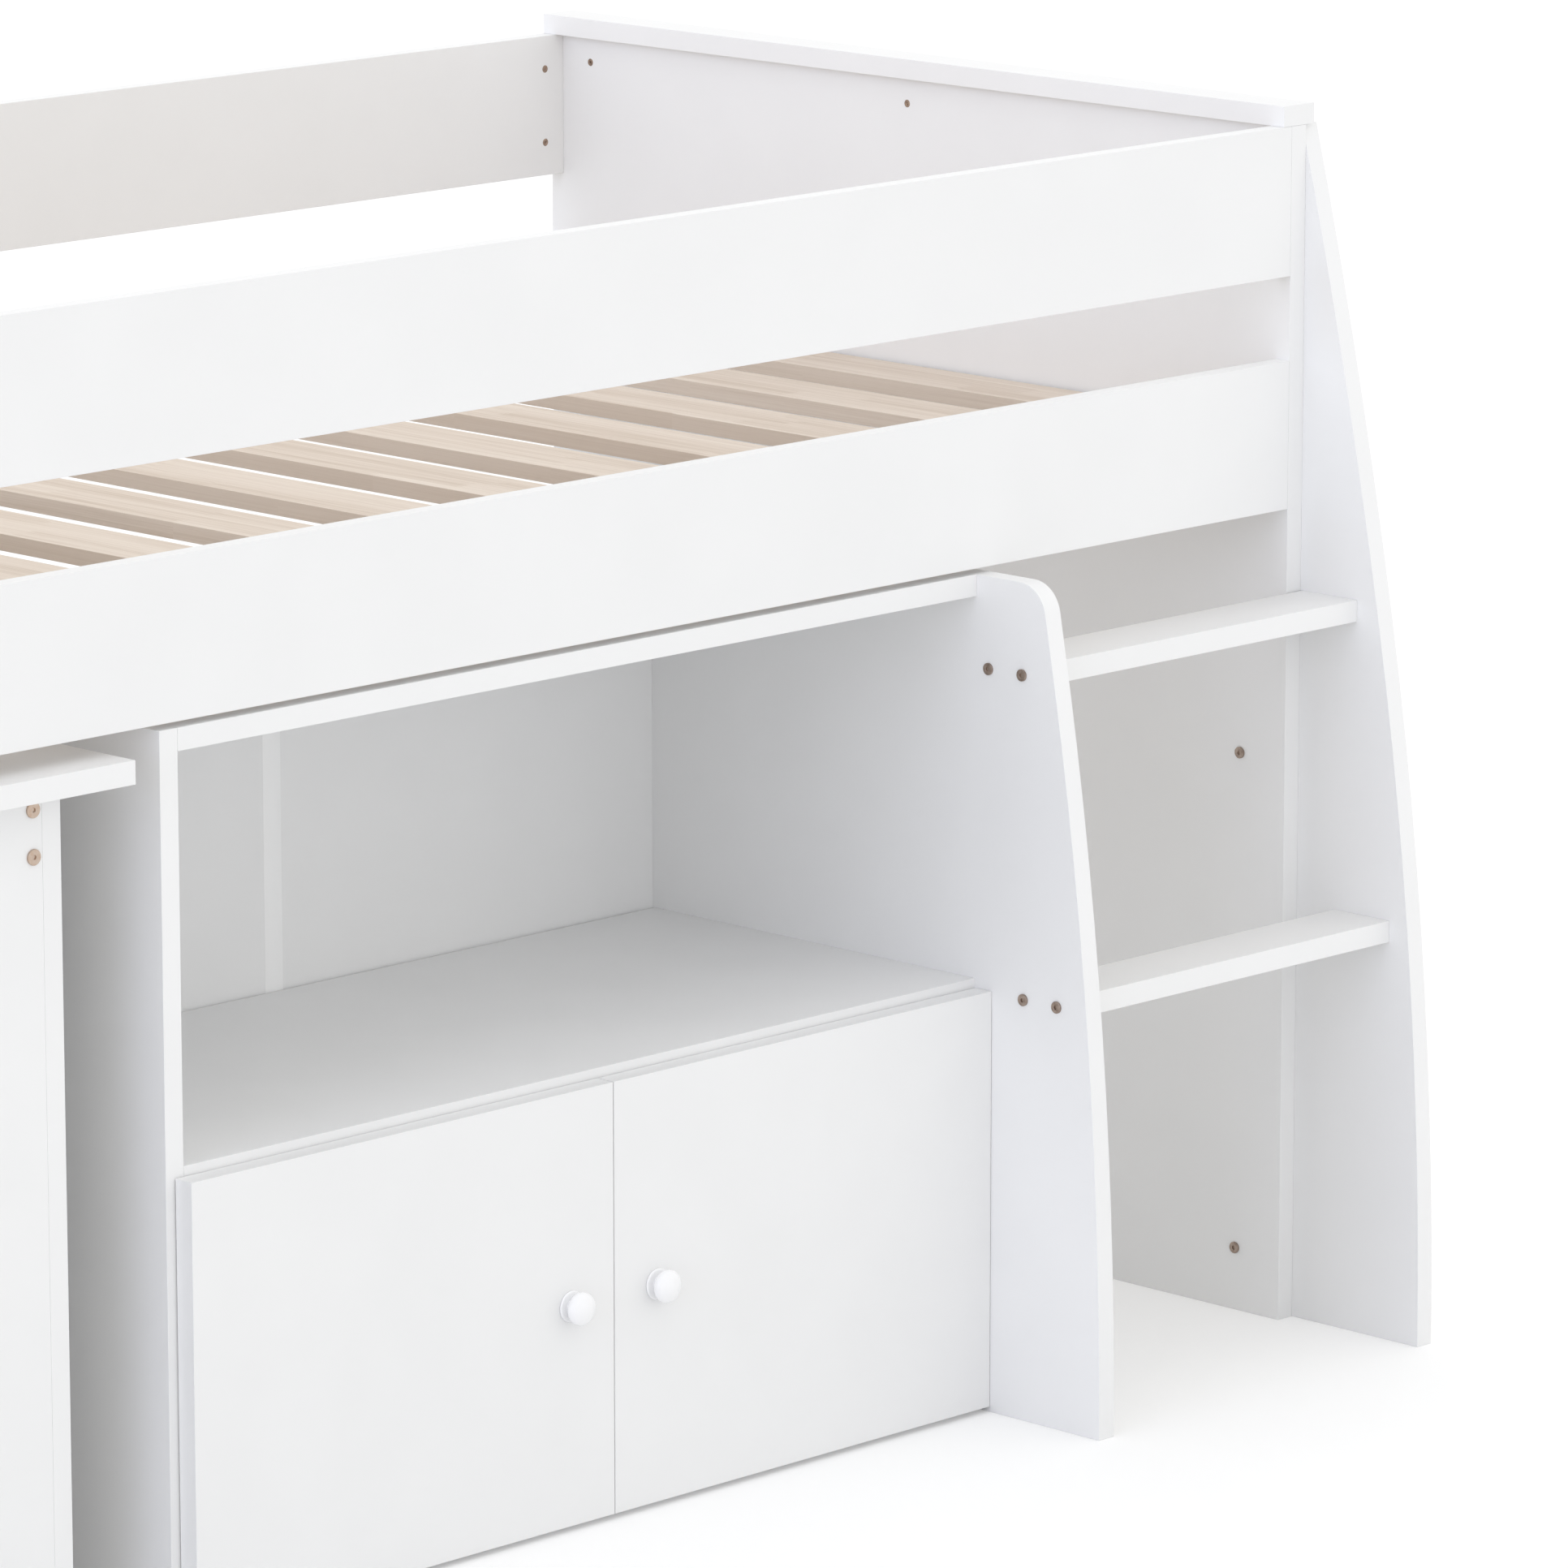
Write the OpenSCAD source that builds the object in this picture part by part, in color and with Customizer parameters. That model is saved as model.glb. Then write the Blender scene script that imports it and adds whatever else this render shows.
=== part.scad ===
// Cabin bed: a mid-height single bed over a two-door cupboard with an open shelf, a ladder on
// the right and a desk on castors that rolls out from under the left half.
// Millimetres, Z up. The front of the bed faces -Y. The origin lies on the floor, in the middle
// of the outline.

/* [Sleeping space] */
// Clear length between the end panels
inner_length = 1910; // [1870:5:2060]
// Clear width between the long rails
inner_width = 905; // [880:5:960]

/* [End panels and cap rails] */
// Thickness of the end panels and of the ladder stiles
panel_t = 19; // [16:0.5:22]
// Height of the end panels
panel_h = 1086; // [1060:1:1180]
// Width of the cap rail on each end panel
cap_w = 40; // [34:1:60]
// Thickness of the cap rails
cap_t = 18.5; // [12:0.5:25]

/* [Long rails] */
// Thickness of the long rails
rail_t = 16; // [15:0.5:19]
// Height of each long rail
rail_h = 133; // [125:1:140]
// Height of the side rails' lower edge above the floor
side_rail_z = 744.5; // [740:0.5:760]

/* [Slats] */
// Number of slats
slat_count = 14; // [10:1:14]
// Width of a slat
slat_w = 72.5; // [60:0.5:90]
// Thickness of a slat
slat_t = 14.5; // [12:0.5:18]
// Distance from one slat to the next
slat_pitch = 134.4; // [110:0.2:136]
// Gap between the first slat and the right end panel
slat_start = 3.5; // [2:0.5:10]
// Depth of the slats' tops below the top edge of the side rails
slat_drop = 56; // [50:1:70]
// Free space at each end of a slat
slat_end_gap = 1; // [0.5:0.5:4]
// Width and height of the bearers under the slats
bearer_s = 22; // [20:1:24]

/* [Ladder] */
// Clear space between the cupboard and the right end panel
ladder_gap = 382; // [340:1:420]
// Reach of the stiles' feet in front of the rails
stile_reach = 149.2; // [120:0.2:170]
// Height at which the stiles' front edge stands upright
stile_upright_z = 8; // [0:1:20]
// Radius of the lower part of the stiles' front edge
stile_r_low = 3646; // [3500:1:4200]
// Height at which the lower radius ends
stile_blend_z = 651; // [600:1:700]
// Radius of the upper part of the stiles' front edge
stile_r_high = 5398; // [5200:1:7000]
// Distance of the right stile's rear edge behind the front of the rails
stile_back = 88; // [80:1:120]
// Depth of a rung
rung_d = 65; // [55:1:70]
// Thickness of a rung
rung_t = 19.5; // [16:0.5:25]
// Height of the upper rung's underside
rung_upper_z = 649.3; // [620:0.1:680]
// Set-back of the upper rung from the stiles' front edge
rung_upper_set = 24; // [20:0.5:26]
// Set-back of the lower rung from the stiles' front edge
rung_lower_set = 21.3; // [18:0.1:30]

/* [Cupboard] */
// Clear width between the cupboard's sides
unit_inner_w = 912.8; // [860:0.1:930]
// Thickness of the cupboard's left side, top, shelf and bottom
unit_t = 19; // [18:0.5:19.5]
// Gap between the top of the cupboard and the side rail
unit_gap = 5; // [2:0.5:12]
// Depth of the cupboard
unit_depth = 399; // [360:1:450]
// Radius of the front top corner of the ladder side
unit_corner_r = 30; // [15:1:45]
// Height of the shelf's top above the floor
shelf_top_z = 384.7; // [360:0.1:400]
// Distance of the shelf from the back boards
shelf_back_gap = 2; // [1.5:0.5:6]
// Height of the bottom board's underside above the floor
unit_bottom_z = 6; // [3:0.5:15]
// Thickness of the back boards
back_t = 3; // [2.5:0.5:5]
// Width of the strip that joins the back boards
strip_w = 20.5; // [16:0.5:30]
// Thickness of the strip's two faces
strip_t = 1.2; // [0.8:0.1:1.4]

/* [Doors] */
// Thickness of the doors
door_t = 19; // [18.5:0.5:22]
// Gap between the doors and the cupboard's front edges
door_gap = 1.3; // [1.2:0.1:3]
// Height of the doors' lower edge above the floor
door_bottom_z = 5; // [3:0.5:15]
// Distance of the doors' upper edge below the top of the shelf
door_top_drop = 8.2; // [5:0.1:15]
// How far the left door covers the edge of the cupboard's left side
door_overlay = 10; // [8:0.5:12]
// Gap between the right door and the ladder side
door_side_gap = 0.5; // [0.5:0.1:3]
// Gap between the two doors
door_meeting_gap = 1; // [1:0.1:4]
// Distance of each knob from the line where the doors meet
knob_offset = 50; // [35:1:80]
// Height of the knobs above the doors' lower edge
knob_height = 189.3; // [150:0.1:300]
// Diameter of the knob's head
knob_d = 28.4; // [22:0.2:36]
// Thickness of the knob's domed head
knob_head_t = 12.7; // [11.5:0.1:16]
// Rounding of the head's rim
knob_rim_r = 5.2; // [4:0.1:5.6]
// How far the knob stands out of the door
knob_out = 20; // [18:0.5:26]

/* [Hinges] */
// Height of the hinges from the doors' upper and lower edges
hinge_end = 80; // [60:1:100]
// Distance of the turning axis from the door's outer edge
hinge_in = 6; // [5:0.1:6.3]
// Diameter of the hinge cup
cup_d = 35; // [35:1:36]
// Distance of the cup's centre from the door's outer edge
cup_edge = 22.5; // [22:0.1:23.5]
// Depth of the cup's bore in the door
cup_depth = 12; // [11.5:0.1:12.5]

/* [Desk] */
// Width of the desk top
desk_w = 500; // [460:1:510]
// Length of the desk top
desk_l = 850; // [700:5:880]
// Thickness of the desk top
desk_top_t = 19.5; // [16:0.5:25]
// Height of the desk top's upper face
desk_h = 725.7; // [700:0.1:735]
// Gap between the desk top and the cupboard
desk_side_gap = 42.4; // [30:0.1:55]
// How far the desk top's front edge stands in front of the rails
desk_front = 20; // [0:1:30]
// Overhang of the desk top over the legs at its front and rear
desk_end_overhang = 35; // [20:1:60]
// Overhang of the desk top over the legs at its sides
desk_side_overhang = 47.8; // [30:0.1:70]
// Thickness of the desk's leg panels and aprons
desk_t = 19; // [16:0.5:22]
// Depth of the legs' side returns
desk_return_d = 65; // [62:1:90]
// Height of the aprons under the desk top
apron_h = 65; // [55:1:90]
// Height of the leg panels' lower edge above the floor
desk_foot_z = 12; // [8:1:18]
// Diameter of the castor wheels
wheel_d = 40; // [36:1:42]
// Width of the castor wheels
wheel_w = 16; // [12:1:20]

/* [Fixings] */
// Distance of a cam lock from the end of its board
cam_edge = 24; // [20:1:34]
// Distance of the cam locks above and below the middle of a rail
cam_spread = 35; // [28:1:45]
// Diameter of a cam lock
cam_d = 7; // [6:0.5:9]
// Depth of a cam lock
cam_depth = 12; // [11:0.5:12.5]
// Distance of the outer cam locks from the ends of a cap rail
cap_cam_inset = 53; // [40:1:80]
// Diameter of a bolt's shank
bolt_d = 6; // [5:0.5:7]
// Diameter of a bolt's head
bolt_head_d = 10.5; // [10:0.5:14]
// Height of a bolt's head
bolt_head_t = 1.8; // [1.2:0.1:3]
// Diameter of the desk bolts' heads
desk_bolt_head_d = 13; // [11:0.5:15]
// Distance of the stile bolts behind the front of the end panel
stile_bolt_y = 53; // [40:1:65]
// Height of the lowest stile bolt
stile_bolt_low = 58.2; // [40:0.1:90]
// Height of one stile bolt above the next
stile_bolt_step = 458.2; // [400:0.1:480]
// Half the distance between a rung's two bolts
rung_bolt_half = 19.6; // [15:0.1:22]
// Diameter of the barrel nuts
barrel_d = 10; // [9:0.5:12]
// Radial clearance of a fixing in its hole
fix_clear = 0.05; // [0.02:0.01:0.2]

/* [Hidden] */

white = "white";
beech = "#ddcfc2";
bronze = "#84756b";
steel = "silver";
grey = "dimgray";
cut = 1;                // how far a cutting solid runs past a face
fine = 96;              // segments of a small round
curve_fn = 1440;        // segments of the stiles' large radii

// Places along the bed
right_in = inner_length / 2;
left_in = -inner_length / 2;
depth = inner_width + 2 * rail_t;
guard_z = panel_h - rail_h;
cap_over = (cap_w - panel_t) / 2;
slat_top_z = side_rail_z + rail_h - slat_drop;
bearer_top_z = slat_top_z - slat_t;

// Places across the ladder and the cupboard
stile_out_x = right_in + 2 * panel_t;
unit_right_out = right_in - ladder_gap;
unit_right_in = unit_right_out - panel_t;
unit_left_in = unit_right_in - unit_inner_w;
unit_left_out = unit_left_in - unit_t;
unit_mid_x = (unit_left_in + unit_right_in) / 2;
unit_h = side_rail_z - unit_gap;
back_y = unit_depth - back_t;
rung_lower_z = shelf_top_z - rung_t;
rung_x0 = unit_right_out;
rung_len = ladder_gap + panel_t;
barrel_in = 30;                      // distance of a barrel nut from the end of its board
barrel_l = 15;
bolt_past = 6;                       // how far a bolt runs past its barrel nut

// Fixings
socket_w = 4;                        // hexagon sockets, across corners
socket_deep = 1.5;
slot_w = 0.8;                        // cross recesses of the screws
slot_deep = 1;
cross_w = 1;                         // recesses of the cam locks and barrel nuts
cross_deep = 1.5;
cam_tip_r = 1.5;
cam_bolt_r = 2.5;
cam_bolt_in = 8;                     // how deep a cam bolt sits in the other board
dowel_r = 4;
dowel_in = 8;                        // how deep a dowel sits in the other board
dowel_out = 20;
wood_screw_l = 34.5;
wood_screw_r = 2;
wood_screw_head_r = 4;
wood_head_h = wood_screw_head_r - wood_screw_r;
bearer_end_gap = 2;
bearer_screws = 7;                   // screws in each bearer
sleeve_r = 4;                        // sleeve nuts of the stile bolts
sleeve_l = 14;
sleeve_floor = 1;                    // wall between a sleeve nut's head and its thread
sleeve_socket = 1.3;                 // depth of its hexagon socket
stile_bolt_l = 2 * panel_t - 6;
nail_r = 0.8;
nail_l = 20;
nail_head_r = 2;
nail_head_t = 0.7;
nail_inset = 30;
web_half = 0.8;                      // half the thickness of the joining strip's web
plate_screw_r = 1.8;                 // screws of the hinge plates
plate_screw_l = 14;
plate_screw_head_r = 3.8;
plate_screw_head_t = 2;
cup_screw_r = 1.75;                  // screws of the hinge cups
cup_screw_l = 12;
cup_screw_head_r = 3.5;
cup_screw_head_t = 1.4;
castor_screw_r = 1.9;
castor_screw_l = 14;
castor_screw_head_r = 3.8;
castor_screw_head_t = 1.8;

// The outline's middle, which is the origin
outline_x0 = left_in - panel_t - cap_over;
outline_x1 = stile_out_x + bolt_head_t;
centre_x = (outline_x0 + outline_x1) / 2;
centre_y = (depth - stile_reach) / 2;

// The doors
door_back_y = -door_gap;
door_front_y = -door_gap - door_t;
door_h = shelf_top_z - door_top_drop - door_bottom_z;
door_left_x = unit_left_in - door_overlay;
door_right_x = unit_right_in - door_side_gap;
knob_z = door_bottom_z + knob_height;
knob_rod_r = 2;
knob_thread = 9;                     // how deep the knob's screw goes into the knob
knob_screw_head_r = 4;
knob_screw_head_t = 2.2;
knob_flange_t = 2.5;
knob_flange_in = 0.7;                // how much smaller the flange's radius is than the head's
hinge_zs = [door_bottom_z + hinge_end, door_bottom_z + door_h - hinge_end];
left_pivot_x = door_left_x + hinge_in;
right_pivot_x = door_right_x - hinge_in;
left_face = door_overlay - hinge_in;      // the side's inner face, seen from the pivot
right_face = -door_side_gap - hinge_in;

// Hinge leaves, in layers either side of the hinge's middle plane
leaf_r0 = 23;
leaf_r1 = 29;
leaf_a0 = 14;
leaf_a1 = 66;
leaf_gap = 0.3;
tongue_half = 2;
link_z0 = tongue_half + leaf_gap;
link_z1 = link_z0 + 1.5;
lug_z0 = link_z1 + leaf_gap;
lug_z1 = lug_z0 + 1.5;
lug_w = 5;                   // foot of each outer leaf on the cup's floor
cup_wall = 1;
cup_x = cup_edge - hinge_in;
flange_t = 0.8;
flange_r = cup_d / 2 + 1.1;
ear_z = 24;
ear_half = 6;
arm_y = 31;
arm_l = 55;
arm_h = 8;
arm_half = 6.5;
arm_wall = 1.5;
arm_solid = 8;               // length of the arm's closed front end
arm_hole_r = 2.5;
tongue_x = 14;               // reach of the piece that joins the arm to its leaf
plate_t = 3;
plate_l = 47;
plate_half = 8;
wing_w = 12;                 // the plate's two wings, which take its screws
wing_half = 21;
plate_screw_y = door_t + door_gap + 37;
plate_screw_z = 16;

// The desk
desk_x1 = unit_left_out - desk_side_gap;
desk_x0 = desk_x1 - desk_w;
desk_y0 = -desk_front;
desk_y1 = desk_y0 + desk_l;
desk_under_z = desk_h - desk_top_t;
leg_x0 = desk_x0 + desk_side_overhang;
leg_x1 = desk_x1 - desk_side_overhang;
leg_mid_x = (leg_x0 + leg_x1) / 2;
leg_y0 = desk_y0 + desk_end_overhang;
leg_y1 = desk_y1 - desk_end_overhang;
apron_mid_z = desk_under_z - apron_h / 2;
desk_bolt_half = 18.8;               // half the distance between two desk bolts
wheel_y = wheel_d / 2 + 2;           // wheel centre, behind the leg panel
wheel_side_gap = 1;                  // gap between a wheel and its fork plates
fork_t = 2;
fork_w = wheel_w + 2 * fork_t + 2 * wheel_side_gap;
fork_top_z = wheel_d + 3;            // underside of the fork's bridge, clear of the wheel
fork_plate_h = 60;
axle_r = 3;
axle_head_r = 4.5;
axle_head_t = 1.5;
fork_half = 12;                      // half the width of a castor's fork plates
castor_screw_half = 12;              // half the distance between a castor's two screws
castor_screw_top = 6;                // distance of those screws below the plate's top
plate_start_y = 3;                   // gap between a castor's back plate and the leg panel
wheel_clear = 0.08;                  // radial clearance of a wheel on its axle
tread_r = 3;
wheel_dish = 2;                      // depth of the ring recess in a wheel's sides
wheel_rim = 6;                       // width of the rim outside that recess
wheel_hub = 4;                       // width of the hub inside that recess
desk_dowel_shares = [-0.6, -0.2, 0.2, 0.6];

module in_frame() {
    translate([-centre_x, -centre_y, 0]) children();
}

// ---------- Shapes that repeat ----------

module board(x0, x1, y0, y1, z0, z1) {
    translate([x0, y0, z0]) cube([x1 - x0, y1 - y0, z1 - z0]);
}

// Turns a solid that points along +Z to point along +X, -X, +Y or -Y
module to_right() { rotate([0, 90, 0]) children(); }
module to_left() { rotate([0, -90, 0]) children(); }
module to_back() { rotate([-90, 0, 0]) children(); }
module to_front() { rotate([90, 0, 0]) children(); }

// An outline in the Y-Z plane, x0 to x0 + t
module side_board(x0, t) {
    translate([x0, 0, 0]) rotate([90, 0, 90]) linear_extrude(t) children();
}

module hole(r, len) {
    translate([0, 0, -cut]) cylinder(r = r + fix_clear, h = len + cut, $fn = fine);
}

// Flat head with a chamfer and a hexagon socket, under side at z = 0, shank along +Z
module socket_bolt(len, head_d) {
    chamfer = bolt_head_t * 0.2;
    difference() {
        union() {
            cylinder(r = bolt_d / 2, h = len, $fn = fine);
            translate([0, 0, -bolt_head_t]) rotate_extrude($fn = fine)
                polygon([[0, 0], [head_d / 2 - chamfer, 0], [head_d / 2, chamfer],
                         [head_d / 2, bolt_head_t], [0, bolt_head_t]]);
        }
        translate([0, 0, -bolt_head_t - cut]) cylinder(d = socket_w, h = socket_deep + cut, $fn = 6);
    }
}

// Cross recess that goes down from z = 0
module cross_recess(half, w, deep) {
    for (a = [0, 90]) rotate([0, 0, a]) translate([-half, -w / 2, -deep]) cube([2 * half, w, deep + cut]);
}

// Barrel nut along +Z with a cross hole for the bolt along X, screwdriver slot at z = 0
module barrel_nut(bolt_z) {
    difference() {
        cylinder(d = barrel_d, h = barrel_l, $fn = fine);
        translate([-barrel_d, 0, bolt_z]) to_right()
            cylinder(r = bolt_d / 2 + fix_clear, h = 2 * barrel_d, $fn = fine);
        translate([-barrel_d, -cross_w / 2, -cut]) cube([2 * barrel_d, cross_w, cut + cross_deep]);
    }
}

// Cam lock along -Z from a face at z = 0, with a cross recess and a hole for the bolt's tip
module cam_lock(axis_depth) {
    difference() {
        translate([0, 0, -cam_depth]) cylinder(d = cam_d, h = cam_depth, $fn = fine);
        cross_recess(cam_d * 0.3, cross_w, cross_deep);
        translate([0, 0, -axis_depth]) to_left()
            cylinder(r = cam_tip_r + fix_clear, h = cam_d, $fn = fine);
    }
}

// Bolt of a cam lock: thread at z < 0, neck from z = 0 to the cam, tip inside the cam
module cam_bolt() {
    translate([0, 0, -cam_bolt_in])
        cylinder(r = cam_bolt_r, h = cam_bolt_in + cam_edge - cam_d / 2 - fix_clear, $fn = fine);
    translate([0, 0, cam_edge - cam_d / 2 - 1]) cylinder(r = cam_tip_r, h = cam_d / 2, $fn = fine);
}

// Holes of a cam lock in its own board: pocket from a face, bore from the edge along +X
module cam_pocket() {
    translate([0, 0, -cam_depth]) cylinder(r = cam_d / 2 + fix_clear, h = cam_depth + cut, $fn = fine);
}

module dowel() {
    translate([0, 0, -dowel_in]) cylinder(r = dowel_r, h = dowel_in + dowel_out, $fn = fine);
}

// Countersunk wood screw along -Z with its head flush with z = 0
module wood_screw() {
    difference() {
        union() {
            translate([0, 0, -wood_screw_l])
                cylinder(r = wood_screw_r, h = wood_screw_l - wood_head_h / 2, $fn = fine);
            translate([0, 0, -wood_head_h])
                cylinder(r1 = wood_screw_r, r2 = wood_screw_head_r, h = wood_head_h, $fn = fine);
        }
        cross_recess(wood_screw_head_r * 0.55, slot_w, slot_deep);
    }
}

module wood_screw_hole() {
    shank_r = wood_screw_r + fix_clear;
    head_r = wood_screw_head_r + fix_clear;
    translate([0, 0, -wood_screw_l]) cylinder(r = shank_r, h = wood_screw_l + cut, $fn = fine);
    translate([0, 0, -wood_head_h]) cylinder(r1 = shank_r, r2 = head_r, h = wood_head_h, $fn = fine);
}

// Round-headed screw along -Z, head on z = 0
module pan_screw(len, r, head_r, head_t) {
    dome_r = 2.2 * head_r;
    difference() {
        union() {
            translate([0, 0, -len]) cylinder(r = r, h = len + head_t / 2, $fn = fine);
            rotate_extrude($fn = fine) intersection() {
                square([head_r, head_t]);
                translate([0, head_t - dome_r]) circle(r = dome_r, $fn = fine * 4);
            }
        }
        translate([0, 0, head_t]) cross_recess(head_r * 0.5, slot_w, slot_deep);
    }
}

// ---------- Where the fixings sit ----------

// Rail ends: origin on the end panel's inner face in the rail's middle plane, +X into the rail,
// +Y to the rail's inner face
module at_rail_ends(back, z0, dzs, sides = [-1, 1]) {
    y = back == 1 ? depth - rail_t / 2 : rail_t / 2;
    for (side = sides)
        for (dz = dzs)
            translate([side * inner_length / 2, y, z0 + rail_h / 2 + dz])
                mirror([side > 0 ? 1 : 0, 0, 0]) mirror([0, back, 0]) children();
}

rail_cam_dz = [-cam_spread, cam_spread];
rail_rows = [[0, side_rail_z], [0, guard_z], [1, side_rail_z], [1, guard_z]];

// Cap rails: origin on the end panel's top edge in its middle plane, +X to the bed's inside
module at_cap(side, ys) {
    for (y = ys) translate([side * (inner_length + panel_t) / 2, y, panel_h])
        mirror([side > 0 ? 1 : 0, 0, 0]) children();
}

cap_cam_ys = [cap_cam_inset, depth / 2, depth - cap_cam_inset];
cap_dowel_ys = [(cap_cam_inset + depth / 2) / 2, (depth / 2 + depth - cap_cam_inset) / 2];

// Boards between the cupboard's sides: origin on the side's inner face at the board's
// underside, +X into the board
unit_board_zs = [unit_bottom_z, shelf_top_z - unit_t, unit_h - unit_t];
unit_cam_ys = [50, unit_depth - 60];
unit_dowel_ys = [unit_depth / 2];

module at_unit(zs, ys, sides = [-1, 1]) {
    for (side = sides)
        for (z0 = zs)
            for (y = ys)
                translate([side < 0 ? unit_left_in : unit_right_in, y, z0])
                    mirror([side > 0 ? 1 : 0, 0, 0]) children();
}

stile_bolt_zs = [for (i = [0 : 2]) stile_bolt_low + i * stile_bolt_step];

// Front edge of the stiles: distance in front of the rails at height z
low_c = [stile_r_low - stile_reach, stile_upright_z];
blend_y = low_c[0] - sqrt(pow(stile_r_low, 2) - pow(stile_blend_z - low_c[1], 2));
blend_n = [low_c[0] - blend_y, low_c[1] - stile_blend_z] / stile_r_low;
high_c = [blend_y, stile_blend_z] + stile_r_high * blend_n;

function stile_front(z) = z < stile_blend_z
    ? low_c[0] - sqrt(pow(stile_r_low, 2) - pow(z - low_c[1], 2))
    : high_c[0] - sqrt(pow(stile_r_high, 2) - pow(z - high_c[1], 2));

rung_upper_y = stile_front(rung_upper_z + rung_t / 2) + rung_upper_set;
rung_lower_y = stile_front(rung_lower_z + rung_t / 2) + rung_lower_set;
rung_rows = [[rung_upper_y, rung_upper_z], [rung_lower_y, rung_lower_z]];

// Rung bolts: origin on the stile's outer side, +X into the rung
module at_rung_bolts(rows, sides = [-1, 1]) {
    for (side = sides) {
        x = side < 0 ? unit_right_in : stile_out_x;
        for (row = rows)
            for (dy = [-rung_bolt_half, rung_bolt_half])
                translate([x, row[0] + rung_d / 2 + dy, row[1] + rung_t / 2])
                    mirror([side > 0 ? 1 : 0, 0, 0]) children();
    }
}

// Hinges: origin on the turning axis at the hinge's height, +X to the door's free side, +Y back
module at_hinges(sides) {
    for (side = sides)
        for (z = hinge_zs)
            translate([side < 0 ? left_pivot_x : right_pivot_x, door_front_y, z])
                mirror([side > 0 ? 1 : 0, 0, 0]) children();
}

// Desk: origin on the desk's middle plane at a leg panel's outer face, +Y into the desk
module at_desk_ends(ends = [0, 1]) {
    for (e = ends)
        translate([leg_mid_x, e == 0 ? leg_y0 : leg_y1, 0]) mirror([0, e, 0]) children();
}

half_legs = (leg_x1 - leg_x0) / 2;
apron_x = half_legs - desk_t * 1.5;   // an apron's middle, from the desk's middle plane

// Castors: origin on a return's inner face and a leg panel's inner face, +X to the desk's middle
module at_castor(side, e) {
    at_desk_ends([e]) translate([side * (half_legs - desk_t), desk_t, 0])
        mirror([side > 0 ? 1 : 0, 0, 0]) children();
}

module at_castors() {
    for (side = [-1, 1]) for (e = [0, 1]) at_castor(side, e) children();
}

// ---------- Bed frame ----------

module end_panel(side) {
    x0 = side < 0 ? left_in - panel_t : right_in;
    difference() {
        board(x0, x0 + panel_t, 0, depth, 0, panel_h);
        for (row = rail_rows) {
            at_rail_ends(row[0], row[1], rail_cam_dz, [side]) to_left() hole(cam_bolt_r, cam_bolt_in);
            at_rail_ends(row[0], row[1], [0], [side]) to_left() hole(dowel_r, dowel_in);
        }
        at_cap(side, cap_cam_ys) {
            translate([panel_t / 2, 0, -cam_edge]) to_right() cam_pocket();
            translate([0, 0, -cam_edge]) cylinder(r = cam_bolt_r + fix_clear, h = cam_edge + cut, $fn = fine);
        }
        at_cap(side, cap_dowel_ys) mirror([0, 0, 1]) hole(dowel_r, dowel_out);
        if (side > 0) for (z = stile_bolt_zs)
            translate([right_in, stile_bolt_y, z]) to_right() hole(bolt_d / 2, panel_t + cut);
    }
}

module end_panel_left() { color(white) in_frame() end_panel(-1); }
module end_panel_right() { color(white) in_frame() end_panel(1); }

module cap_rail(side) {
    x0 = side < 0 ? left_in - panel_t - cap_over : right_in - cap_over;
    difference() {
        board(x0, x0 + cap_w, 0, depth, panel_h, panel_h + cap_t);
        at_cap(side, cap_cam_ys) hole(cam_bolt_r, cam_bolt_in);
        at_cap(side, cap_dowel_ys) hole(dowel_r, dowel_in);
    }
}

module cap_rail_left() { color(white) in_frame() cap_rail(-1); }
module cap_rail_right() { color(white) in_frame() cap_rail(1); }

module long_rail(back, z0) {
    y0 = back == 1 ? depth - rail_t : 0;
    difference() {
        board(left_in, right_in, y0, y0 + rail_t, z0, z0 + rail_h);
        at_rail_ends(back, z0, rail_cam_dz) {
            to_right() hole(cam_bolt_r, cam_edge);
            translate([cam_edge, rail_t / 2, 0]) to_back() cam_pocket();
        }
        at_rail_ends(back, z0, [0]) to_right() hole(dowel_r, dowel_out);
        if (z0 == side_rail_z) at_bearer_screws(back) wood_screw_hole();
    }
}

module guard_rail_front() { color(white) in_frame() long_rail(0, guard_z); }
module guard_rail_back() { color(white) in_frame() long_rail(1, guard_z); }
module side_rail_front() { color(white) in_frame() long_rail(0, side_rail_z); }
module side_rail_back() { color(white) in_frame() long_rail(1, side_rail_z); }

// ---------- Slats ----------

// Bearer screws: origin on the bearer's inner face, pointing out of it
module at_bearer_screws(back) {
    span = inner_length - 2 * slat_w;
    for (i = [0 : bearer_screws - 1])
        translate([left_in + slat_w + span * i / (bearer_screws - 1),
                   back == 1 ? depth - rail_t - bearer_s : rail_t + bearer_s, bearer_top_z - bearer_s / 2])
            if (back == 1) to_front() children(); else to_back() children();
}

module at_slats() {
    for (i = [0 : slat_count - 1])
        translate([right_in - slat_start - slat_w - i * slat_pitch, 0, bearer_top_z]) children();
}

// Slat screws: origin on a slat's top over each bearer
module at_slat_screws() {
    at_slats() for (y = [rail_t + bearer_s / 2, depth - rail_t - bearer_s / 2])
        translate([slat_w / 2, y, slat_t]) children();
}

module slat_bearers() {
    color(beech) in_frame() for (back = [0, 1]) {
        y0 = back == 1 ? depth - rail_t - bearer_s : rail_t;
        difference() {
            board(left_in + bearer_end_gap, right_in - bearer_end_gap, y0, y0 + bearer_s,
                  bearer_top_z - bearer_s, bearer_top_z);
            at_bearer_screws(back) wood_screw_hole();
            at_slat_screws() wood_screw_hole();
        }
    }
}

module slats() {
    color(beech) in_frame() difference() {
        at_slats() board(0, slat_w, rail_t + slat_end_gap, depth - rail_t - slat_end_gap, 0, slat_t);
        at_slat_screws() wood_screw_hole();
    }
}

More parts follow.
